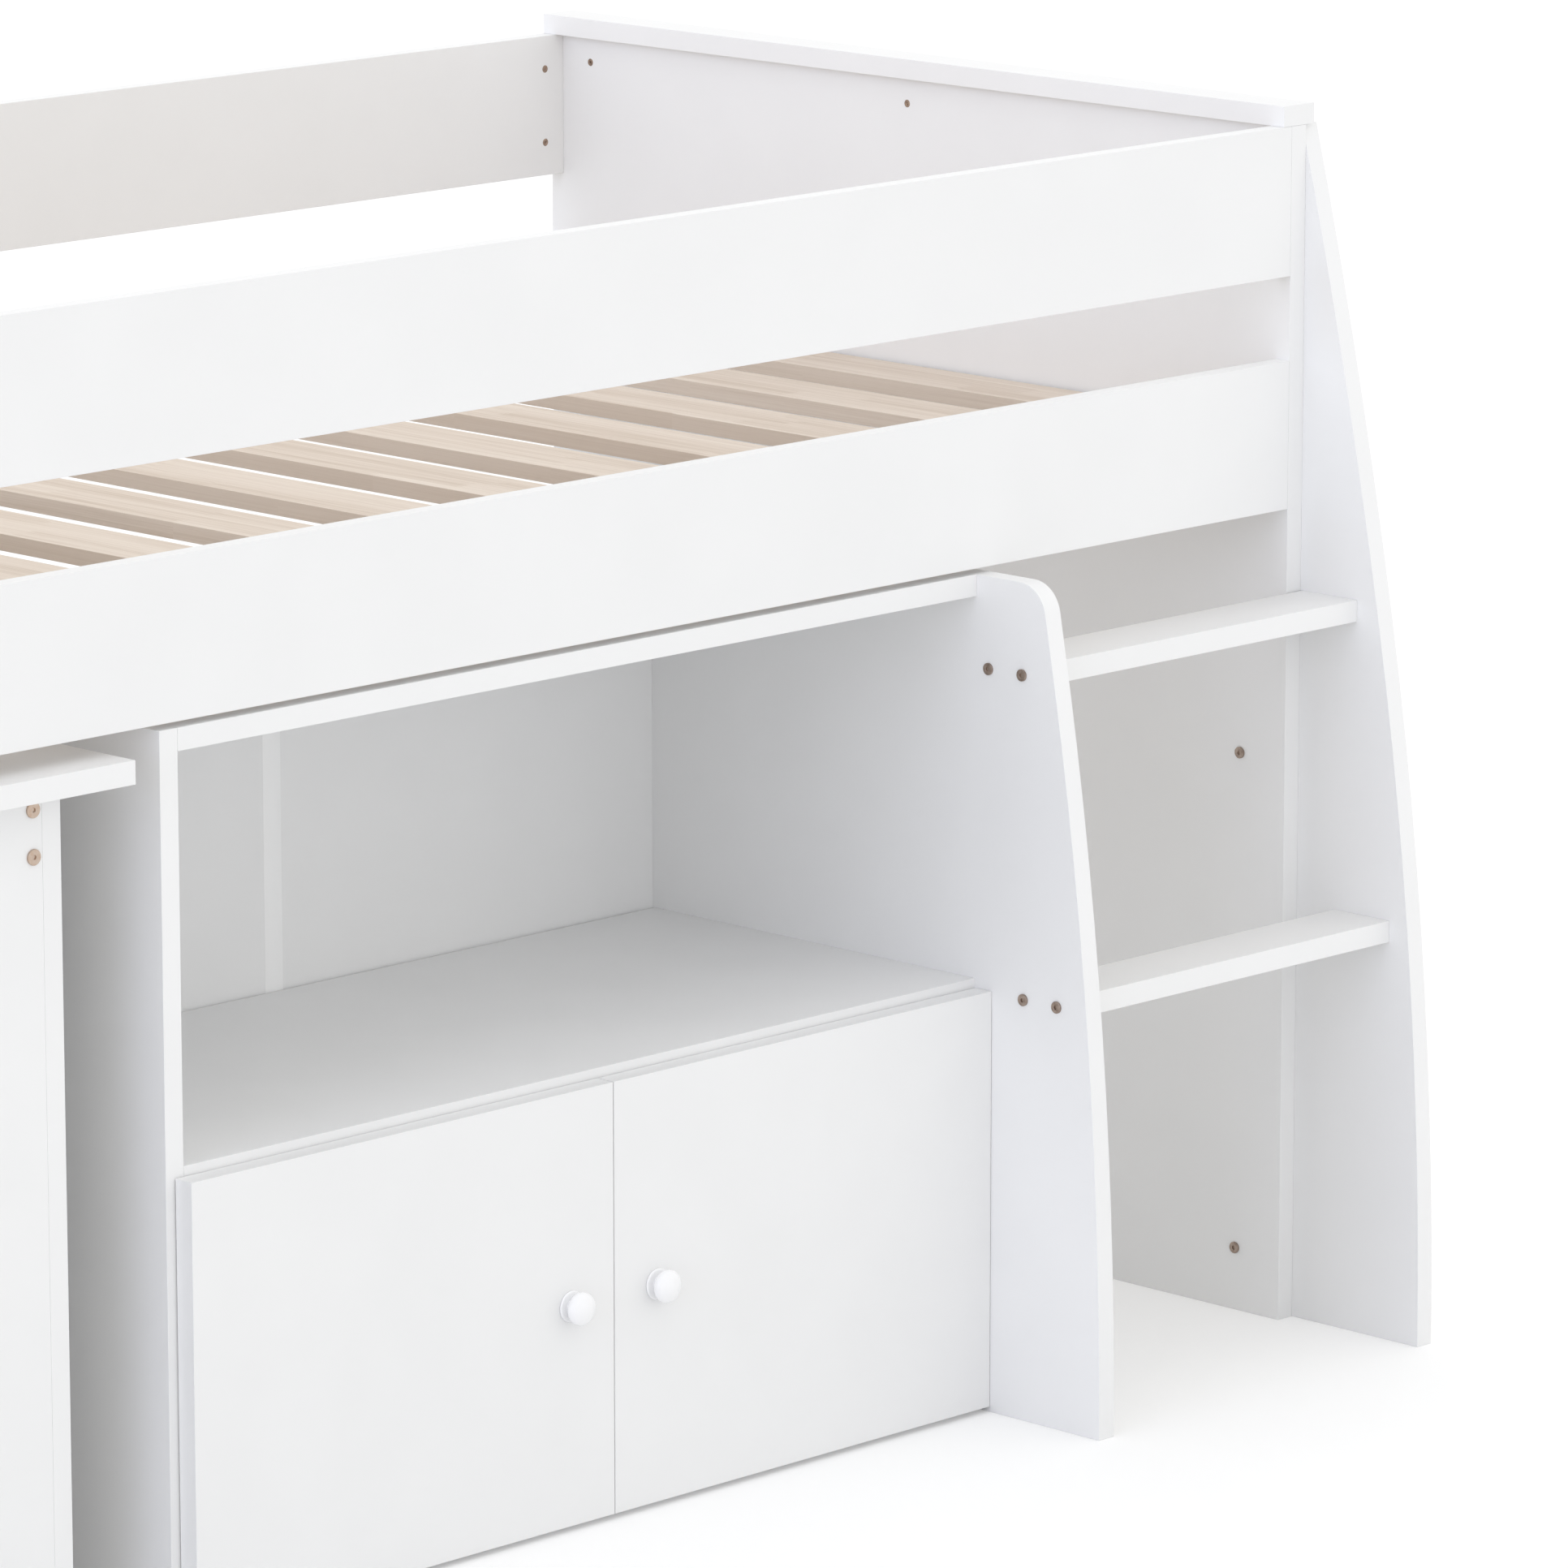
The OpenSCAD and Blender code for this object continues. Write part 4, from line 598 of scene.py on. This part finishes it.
class CabinBedSizes(bpy.types.PropertyGroup):
    """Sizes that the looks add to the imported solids."""
    edge_radius: length("Edge radius", "Easing of the boards' edges", 0.5, 0.2, 3)
    door_edge: length("Door edge radius", "Easing of the doors' edges", 0.3, 0.2, 3)
    slat_edge: length("Slat edge radius", "Rounding of the slats' long edges", 0.5, 0.2, 5)
    slat_count: IntProperty(name="Slats", description="Number of slats", default=14, min=2, max=20)
    slat_width: length("Slat width", "Width of a slat", 72.5, 20, 150)
    screw_head: length("Screw head radius", "Countersunk seats in the slats", 4.05, 2, 8)
    screw_shank: length("Screw shank radius", "Bores of the slat screws", 2.05, 1, 4)
    bearer: length("Bearer", "Width of the bearers under the slats", 22, 10, 40)
    bolt_head: length("Bolt head radius", "Heads of the ladder's bolts", 5.25, 4, 8)
    desk_bolt_head: length("Desk bolt head radius", "Heads of the desk's bolts", 6.5, 4, 8)
    bolt_head_height: length("Bolt head height", "Thickness of all bolt heads", 1.8, 1, 3)


class CabinBedStage(bpy.types.PropertyGroup):
    """Camera, lamps and floor."""
    camera_place: FloatVectorProperty(
        name="Camera", description="Place of the camera", size=3, subtype="TRANSLATION",
        precision=5, default=(-4.93345, -5.5653, 2.1584))
    camera_turn: FloatProperty(
        name="Turn", description="Bearing of the view, from the rear towards the right",
        subtype="ANGLE", default=math.radians(45.418))
    camera_drop: FloatProperty(
        name="Drop", description="How far the view looks down", subtype="ANGLE",
        default=math.radians(12.005))
    camera_angle: FloatProperty(
        name="Field of view", description="Across the square frame", subtype="ANGLE",
        default=math.radians(10))
    sky: FloatProperty(
        name="Sky", description="Strength of the even light from all round", default=1.13, min=0,
        max=3)
    side: FloatProperty(
        name="Side lamp", description="Strength of the large cool lamp on the left", default=0.5,
        min=0, max=20)
    floor_size: FloatProperty(
        name="Floor", description="Width of the floor", default=60.0, min=5, max=200,
        unit="LENGTH")


# ---------- Boards ----------

def boards(nodes, body=BED, finish="white_board", radius=None):
    """Eased copies of packed boards that share a body and a finish."""
    radius = radius or bpy.context.scene.cabin_bed_sizes.edge_radius
    for node in nodes:
        finish_piece(eased_copy(node, radius), node, body, finish)
    return {"FINISHED"}


class CABINBED_OT_materials(bpy.types.Operator):
    """Makes the bed's materials"""
    bl_idname = "cabinbed.materials"
    bl_label = "Materials"

    def execute(self, context):
        MATERIALS.update(make_materials())
        return {"FINISHED"}


class CABINBED_OT_ends(bpy.types.Operator):
    """End panels and their cap rails"""
    bl_idname = "cabinbed.ends"
    bl_label = "Bed ends"

    def execute(self, context):
        return boards(["end_panel_left", "end_panel_right", "cap_rail_left", "cap_rail_right"])


class CABINBED_OT_rails(bpy.types.Operator):
    """Guard rails and side rails"""
    bl_idname = "cabinbed.rails"
    bl_label = "Long rails"

    def execute(self, context):
        return boards(["guard_rail_front", "guard_rail_back", "side_rail_front", "side_rail_back"])


class CABINBED_OT_ladder(bpy.types.Operator):
    """Right stile and both rungs"""
    bl_idname = "cabinbed.ladder"
    bl_label = "Ladder"

    def execute(self, context):
        return boards(["ladder_stile", "rung_upper", "rung_lower"])


class CABINBED_OT_cupboard(bpy.types.Operator):
    """Cupboard boards, back boards and the strip that joins them"""
    bl_idname = "cabinbed.cupboard"
    bl_label = "Cupboard"

    def execute(self, context):
        boards(["unit_side_left", "unit_side_ladder", "unit_top", "unit_shelf", "unit_bottom"])
        for node in ("unit_back_left", "unit_back_right"):
            finish_piece(eased_copy(node, radius=0.3 * MM, segments=1), node, BED,
                         "back_board")
        return boards(["back_joining_strip"], finish="white_strip", radius=0.25 * MM)


class CABINBED_OT_doors(bpy.types.Operator):
    """Both cupboard doors"""
    bl_idname = "cabinbed.doors"
    bl_label = "Doors"

    def execute(self, context):
        radius = context.scene.cabin_bed_sizes.door_edge
        for side in ("left", "right"):
            boards([f"door_{side}"], f"{side}_door", "door_board", radius)
        return {"FINISHED"}


class CABINBED_OT_desk(bpy.types.Operator):
    """Desk top, leg panels, returns and aprons"""
    bl_idname = "cabinbed.desk"
    bl_label = "Desk"

    def execute(self, context):
        return boards(["desk_top", "desk_front_panel", "desk_rear_panel", "desk_returns",
                       "desk_aprons"], DESK)


# ---------- Slats ----------

class CABINBED_OT_slats(bpy.types.Operator):
    """Slats, bearers and their screws"""
    bl_idname = "cabinbed.slats"
    bl_label = "Slats"

    def execute(self, context):
        sizes = context.scene.cabin_bed_sizes
        low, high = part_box("slats")
        middle, size = (low + high) / 2, high - low
        pitch = (size.x - sizes.slat_width) / (sizes.slat_count - 1)
        first = Vector((high.x - sizes.slat_width / 2, middle.y, middle.z))
        bearer_low, bearer_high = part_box("slat_bearers")
        inset = bearer_low.y + sizes.bearer / 2 - low.y
        slats = grown("slats", bpy.data.meshes.new("Slats"), slats_tree(), {
            "Count": sizes.slat_count, "Pitch": pitch, "Width": sizes.slat_width,
            "Thickness": size.z, "Length": size.y, "Edge radius": sizes.slat_edge,
            "Screw inset": inset, "Screw head": sizes.screw_head,
            "Screw shank": sizes.screw_shank, "First": first, "Finish": MATERIALS["beech"],
            "Seed": 11})
        smooth_shaded(slats)
        finish_piece(slats, "slats", BED, "beech")
        finish_piece(eased_copy("slat_bearers", radius=1 * MM), "slat_bearers", BED,
                     "beech_long")
        places = []
        for i in range(sizes.slat_count):
            for sign in (-1, 1):
                seat = first + Vector((-pitch * i, sign * (size.y / 2 - inset), size.z / 2))
                places.append((seat, (0, 0, 1)))
        # Each bearer is screwed to its side rail, from one slat's width off the end panels on
        screws, gap = 7, 2 * MM
        left = bearer_low.x - gap + sizes.slat_width
        right = bearer_high.x + gap - sizes.slat_width
        z = bearer_high.z - sizes.bearer / 2
        for i in range(screws):
            x = left + (right - left) * i / (screws - 1)
            places.append((Vector((x, bearer_low.y + sizes.bearer, z)), (0, 1, 0)))
            places.append((Vector((x, bearer_high.y - sizes.bearer, z)), (0, -1, 0)))
        # The countersunk screws have a little play in their seats
        play, thread, tip = 0.05 * MM, 30 * MM, 34.5 * MM
        head, shank = sizes.screw_head - play, sizes.screw_shank - play
        screw = lathe("Wood screw", [
            (0, -tip), (0.4 * MM, MM - tip), (shank, -thread), (shank, shank - head),
            (head, -0.15 * MM), (head * 0.97, 0), (0, 0)], steps=32)
        screw = cut_out(screw, cross_cutter(head * 0.55, width=0.9 * MM, depth=1.2 * MM))
        on_points("slat_base_screws", screw, places, BED, "zinc_steel", seed=4)
        return {"FINISHED"}


# ---------- Bolts, cam locks and other fixings ----------

def loose_parts(node):
    """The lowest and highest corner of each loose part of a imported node, sorted."""
    work = bmesh.new()
    work.from_mesh(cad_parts[node].data)
    bmesh.ops.remove_doubles(work, verts=work.verts, dist=WELD)
    found, unseen = [], set(work.verts)
    while unseen:
        part, todo = [], [unseen.pop()]
        while todo:
            here = todo.pop()
            part.append(here.co)
            near = {edge.other_vert(here) for edge in here.link_edges} & unseen
            unseen -= near
            todo.extend(near)
        found.append([Vector([pick(co[i] for co in part) for i in range(3)])
                      for pick in (min, max)])
    work.free()
    return sorted(found, key=lambda corners: tuple(round(v, 5) for v in corners[0]))


def bolt(head_radius, head_height, shank_length):
    """A flat-headed furniture bolt with a straight rim and a shallow hexagon socket. Z points out
    of the head, and z = 0 is the head's seat."""
    shank, socket, bevel, mouth = 3 * MM, 2 * MM, 0.36 * MM, 0.15 * MM
    profile = [(0, -shank_length), (shank - 0.4 * MM, -shank_length),
               (shank, -shank_length + 0.5 * MM), (shank, 0), (head_radius, 0)]
    profile += arc((head_radius - bevel, head_height - bevel), bevel, 0, 90, 4)
    profile += [(socket * 1.16, head_height), (socket * 1.04, head_height - mouth),
                (0, head_height - mouth)]
    return cut_out(lathe("Bolt", profile, steps=48),
                   hexagon_cutter(socket, head_height - 1.1 * MM, head_height + MM))


def bolt_row(node, body, material, head_radius, shank_length, axis, split, seed):
    """Bolts along an axis. Those whose middle lies below split have their head at the low end."""
    head_height = bpy.context.scene.cabin_bed_sizes.bolt_head_height
    places = []
    for low, high in loose_parts(node):
        seat, towards = (low + high) / 2, Vector((0, 0, 0))
        if seat[axis] < split:
            towards[axis], seat[axis] = -1, low[axis] + head_height
        else:
            towards[axis], seat[axis] = 1, high[axis] - head_height
        places.append((seat, towards))
    on_points(node, bolt(head_radius, head_height, shank_length), places, body,
              material, seed)


class CABINBED_OT_bolts(bpy.types.Operator):
    """Bolts of the ladder and the desk"""
    bl_idname = "cabinbed.bolts"
    bl_label = "Bolts"

    def execute(self, context):
        sizes = context.scene.cabin_bed_sizes
        rung, desk = (sum(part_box(node), Vector()) / 2 for node in ("rung_upper", "desk_top"))
        long, short = 54.9 * MM, 32 * MM
        # The heads are on the outer sides of the ladder and the desk, and left of the right stile
        # The ladder's bolts take the copy of the plating with painted shade
        bolt_row("rung_bolts", BED, "bronze_painted_shade_steel", sizes.bolt_head, long, axis=0,
                 split=rung.x, seed=2)
        bolt_row("stile_bolts", BED, "bronze_painted_shade_steel", sizes.bolt_head, short, axis=0,
                 split=math.inf, seed=5)
        bolt_row("desk_bolts", DESK, "bronze_steel", sizes.desk_bolt_head, long, axis=1,
                 split=desk.y, seed=8)
        return {"FINISHED"}


class CABINBED_OT_cam_locks(bpy.types.Operator):
    """Cam locks: a zinc drum with a cross recess and a thin raised ring"""
    bl_idname = "cabinbed.cam_locks"
    bl_label = "Cam locks"

    def execute(self, context):
        radius, depth, floor = 3.5 * MM, 12 * MM, -0.18 * MM
        cam = lathe("Cam", [
            (0, -depth), (radius - 0.3 * MM, -depth), (radius, -depth + 0.3 * MM),
            (radius, -0.1 * MM), (radius - 0.1 * MM, 0), (radius - 0.55 * MM, 0),
            (radius - 0.65 * MM, floor), (0, floor)], steps=40)
        cam = cut_out(cam, cross_cutter(radius * 0.62, width=1 * MM, depth=1.1 * MM))
        front_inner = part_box("guard_rail_front")[1].y
        places = []
        for low, high in loose_parts("cam_locks"):
            middle, size = (low + high) / 2, high - low
            axis = max(range(3), key=lambda i: size[i])
            towards = Vector((0, 0, 0))
            # Cams in the long rails and end panels face the mattress, those in the cupboard down
            if axis == 1:
                towards.y = 1 if abs(high.y - front_inner) < MM else -1
            elif axis == 0:
                towards.x = 1 if middle.x < 0 else -1
            else:
                towards.z = -1
            places.append((middle + towards * size[axis] / 2, towards))
        on_points("cam_locks", cam, places, BED, "bronze_cast", seed=3)
        return {"FINISHED"}


class CABINBED_OT_hardware(bpy.types.Operator):
    """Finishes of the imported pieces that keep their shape"""
    bl_idname = "cabinbed.hardware"
    bl_label = "Other fixings"

    def execute(self, context):
        finishes = {
            # The sleeve nuts take the ladder bolts' plating, with its painted shade
            "bronze_painted_shade_steel": ("stile_sleeve_nuts",),
            "beech": ("wood_dowels", "desk_dowels"),
            "nickel_steel": ("hinge_plates", "hinge_arms", "hinge_cups_left", "hinge_cups_right",
                             "hinge_links_left", "hinge_links_right"),
            "zinc_steel": ("rung_barrel_nuts", "back_nails", "cam_bolts", "hinge_plate_screws",
                           "knob_screw_left", "knob_screw_right", "cup_screws_left",
                           "cup_screws_right", "desk_barrel_nuts", "castor_brackets",
                           "castor_axles", "castor_screws"),
        }
        for material, nodes in finishes.items():
            for node in nodes:
                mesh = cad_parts[node].data
                mesh.materials.clear()
                mesh.materials.append(MATERIALS[material])
        return {"FINISHED"}


class CABINBED_OT_knobs(bpy.types.Operator):
    """Round knobs: a foot on the door, a neck and a domed head"""
    bl_idname = "cabinbed.knobs"
    bl_label = "Knobs"

    def execute(self, context):
        for side in ("left", "right"):
            node = f"knob_{side}"
            low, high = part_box(node)
            middle, out, radius = (low + high) / 2, high.y - low.y, (high.x - low.x) / 2
            rim, head, flange, fillet = 5.2 * MM, 12.7 * MM, 2.5 * MM, 0.8 * MM
            neck, foot = radius / 2, radius - 0.7 * MM
            rim_x, drop = radius - rim, head - rim
            rim_z = out - drop
            # The dome touches the rim's rounding where both have the same slope
            dome = (rim_x ** 2 - rim ** 2 + drop ** 2) / (2 * (drop - rim))
            meet = math.degrees(math.atan2(dome - drop, rim_x))
            profile = [(0, 0)] + arc((foot - flange / 2, flange / 2), flange / 2, -90, 90, 12)
            profile += arc((neck + fillet, flange + fillet), fillet, 270, 180, 5)
            profile += arc((neck + fillet, rim_z - rim - fillet), fillet, 180, 90, 5)
            profile += arc((rim_x, rim_z), rim, -90, meet, 24)
            profile += arc((0, out - dome), dome, meet, 90, 20)[1:]
            knob = lathe(piece_name(node), [(max(0.0, r), z) for r, z in profile], steps=80)
            knob.data.transform(Matrix.Translation((middle.x, high.y, middle.z))
                                @ Matrix.Rotation(math.radians(90), 4, "X"))
            smooth_shaded(knob, angle=60, flat_faces=False)
            finish_piece(knob, node, f"{side}_door", "white_plastic")
        return {"FINISHED"}


class CABINBED_OT_castors(bpy.types.Operator):
    """Castor wheels: a soft tyre round a dished centre"""
    bl_idname = "cabinbed.castors"
    bl_label = "Castors"

    def execute(self, context):
        for place in ("front_left", "front_right", "rear_left", "rear_right"):
            node = f"castor_wheel_{place}"
            low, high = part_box(node)
            centre, radius, half = (low + high) / 2, (high.z - low.z) / 2, (high.x - low.x) / 2
            bore, hub, dish, shoulder, tyre = 3.08 * MM, 4 * MM, 2 * MM, 3 * MM, radius - 6 * MM
            side = [(bore, -half), (bore + hub, -half), (bore + hub + 0.6 * MM, dish - half),
                    (tyre - 0.6 * MM, dish - half), (tyre, -half)]
            side += arc((radius - shoulder, shoulder - half), shoulder, -90, 0, 8)
            profile = side + [(r, -z) for r, z in reversed(side)] + side[:1]
            wheel = lathe(piece_name(node), profile, steps=64)
            wheel.data.transform(Matrix.Translation(centre)
                                 @ Matrix.Rotation(math.radians(90), 4, "Y"))
            smooth_shaded(wheel, angle=40)
            finish_piece(wheel, node, f"wheel_{place}", "grey_tread")
            wheel.data.materials.append(MATERIALS["grey_hub"])
            for polygon in wheel.data.polygons:
                away = (polygon.center - centre).yz.length
                polygon.material_index = 0 if away > tyre - 0.7 * MM else 1
        return {"FINISHED"}


# ---------- Stage ----------

def seen_directly(tree):
    """1 for camera, glossy and transmission rays, 0 for the light that falls on the bed."""
    ray = add(tree, "ShaderNodeLightPath").outputs
    two = add(tree, "ShaderNodeMath", operation="MAXIMUM", Value_0=ray["Is Camera Ray"],
              Value_1=ray["Is Glossy Ray"])
    return add(tree, "ShaderNodeMath", operation="MAXIMUM", Value_0=two,
               Value_1=ray["Is Transmission Ray"])


def paper_floor():
    """Seamless paper: it lights the bed as a pale floor does; where it is seen, a little white is
    laid over it, and the bed's soft shadow stays."""
    cloud_size, whitening = 0.4, 0.25
    made, tree, where = new_material("Paper_matt_floor")
    clouds = add(tree, "ShaderNodeTexNoise", Detail=2.0, Vector=where, Scale=1 / cloud_size)
    tones = add(tree, "ShaderNodeValToRGB", Fac=clouds,
                stops=[(0.3, linear("#E9E9E9")), (0.7, linear("#EBEBEB"))])
    lit = add(tree, "ShaderNodeBsdfDiffuse", Color=tones)
    paper = add(tree, "ShaderNodeBsdfDiffuse", Color=linear("#E1E1E1"))
    veil = add(tree, "ShaderNodeEmission", Color=linear("#FFFFFF"), Strength=whitening)
    seen = add(tree, "ShaderNodeAddShader", Shader_0=paper, Shader_1=veil)
    both = add(tree, "ShaderNodeMixShader", Fac=seen_directly(tree), Shader_0=lit, Shader_1=seen)
    add(tree, "ShaderNodeOutputMaterial", Surface=both)
    return made


def even_sky(strength):
    """Even light from all round, white to the camera."""
    world = bpy.data.worlds.new("Sky")
    world.use_nodes = True
    tree = world.node_tree
    tree.nodes.clear()
    even = add(tree, "ShaderNodeBackground", Color=linear("#FFFFFE"), Strength=strength)
    white = add(tree, "ShaderNodeBackground", Color=linear("#FFFFFF"), Strength=1.0)
    both = add(tree, "ShaderNodeMixShader", Fac=seen_directly(tree), Shader_0=even, Shader_1=white)
    add(tree, "ShaderNodeOutputWorld", Surface=both)
    return world


class CABINBED_OT_stage(bpy.types.Operator):
    """Floor, sky, side lamp and camera"""
    bl_idname = "cabinbed.stage"
    bl_label = "Stage"

    def execute(self, context):
        scene, stage = context.scene, context.scene.cabin_bed_stage
        scene.view_settings.view_transform = "Standard"
        scene.world = even_sky(stage.sky)
        half = stage.floor_size / 2
        mesh = bpy.data.meshes.new("Floor")
        mesh.from_pydata([(-half, -half, 0), (half, -half, 0), (half, half, 0), (-half, half, 0)],
                         [], [(0, 1, 2, 3)])
        mesh.materials.append(paper_floor())
        in_scene("Floor", mesh)
        # A large cool lamp stands low on the left
        lamp = bpy.data.lights.new("Side lamp", "SUN")
        lamp.energy = stage.side
        lamp.color = linear("#BCCBFF")[:3]
        lamp.angle = math.radians(50)
        shines = Vector((1.0, 0.1, -0.2))
        in_scene("Side lamp", lamp).rotation_euler = shines.to_track_quat("-Z", "Y").to_euler()
        camera = bpy.data.cameras.new("Camera")
        camera.sensor_fit = "HORIZONTAL"
        camera.sensor_width = 36.0
        camera.lens = camera.sensor_width / 2 / math.tan(stage.camera_angle / 2)
        camera.clip_start, camera.clip_end = 0.1, 200.0
        scene.camera = in_scene("Camera", camera)
        scene.camera.location = stage.camera_place
        scene.camera.rotation_euler = (math.pi / 2 - stage.camera_drop, 0.0, -stage.camera_turn)
        return {"FINISHED"}


# ---------- Panel and registration ----------

GROUPS = {"cabin_bed_tones": CabinBedTones, "cabin_bed_sizes": CabinBedSizes,
          "cabin_bed_stage": CabinBedStage}

OPERATORS = (
    CABINBED_OT_materials, CABINBED_OT_ends, CABINBED_OT_rails, CABINBED_OT_ladder,
    CABINBED_OT_cupboard, CABINBED_OT_doors, CABINBED_OT_desk, CABINBED_OT_slats,
    CABINBED_OT_bolts, CABINBED_OT_cam_locks, CABINBED_OT_hardware, CABINBED_OT_knobs,
    CABINBED_OT_castors, CABINBED_OT_stage,
)


class CABINBED_PT_panel(bpy.types.Panel):
    """Sizes, colours and the steps that make the bed"""
    bl_idname = "CABINBED_PT_panel"
    bl_label = "Cabin bed"
    bl_space_type = "VIEW_3D"
    bl_region_type = "UI"
    bl_category = "Cabin bed"

    def draw(self, context):
        for name, group in GROUPS.items():
            box = self.layout.box()
            for prop in group.__annotations__:
                box.prop(getattr(context.scene, name), prop)
        for operator in OPERATORS:
            self.layout.operator(operator.bl_idname)


def register():
    for name, group in GROUPS.items():
        bpy.utils.register_class(group)
        setattr(bpy.types.Scene, name, PointerProperty(type=group))
    for shown in OPERATORS + (CABINBED_PT_panel,):
        bpy.utils.register_class(shown)


def unregister():
    for shown in (CABINBED_PT_panel,) + tuple(reversed(OPERATORS)):
        bpy.utils.unregister_class(shown)
    for name, group in GROUPS.items():
        delattr(bpy.types.Scene, name)
        bpy.utils.unregister_class(group)


def main():
    register()
    for operator in OPERATORS:
        step = operator.bl_idname.split(".")[1]
        getattr(bpy.ops.cabinbed, step)()


if __name__ == "__main__":
    main()
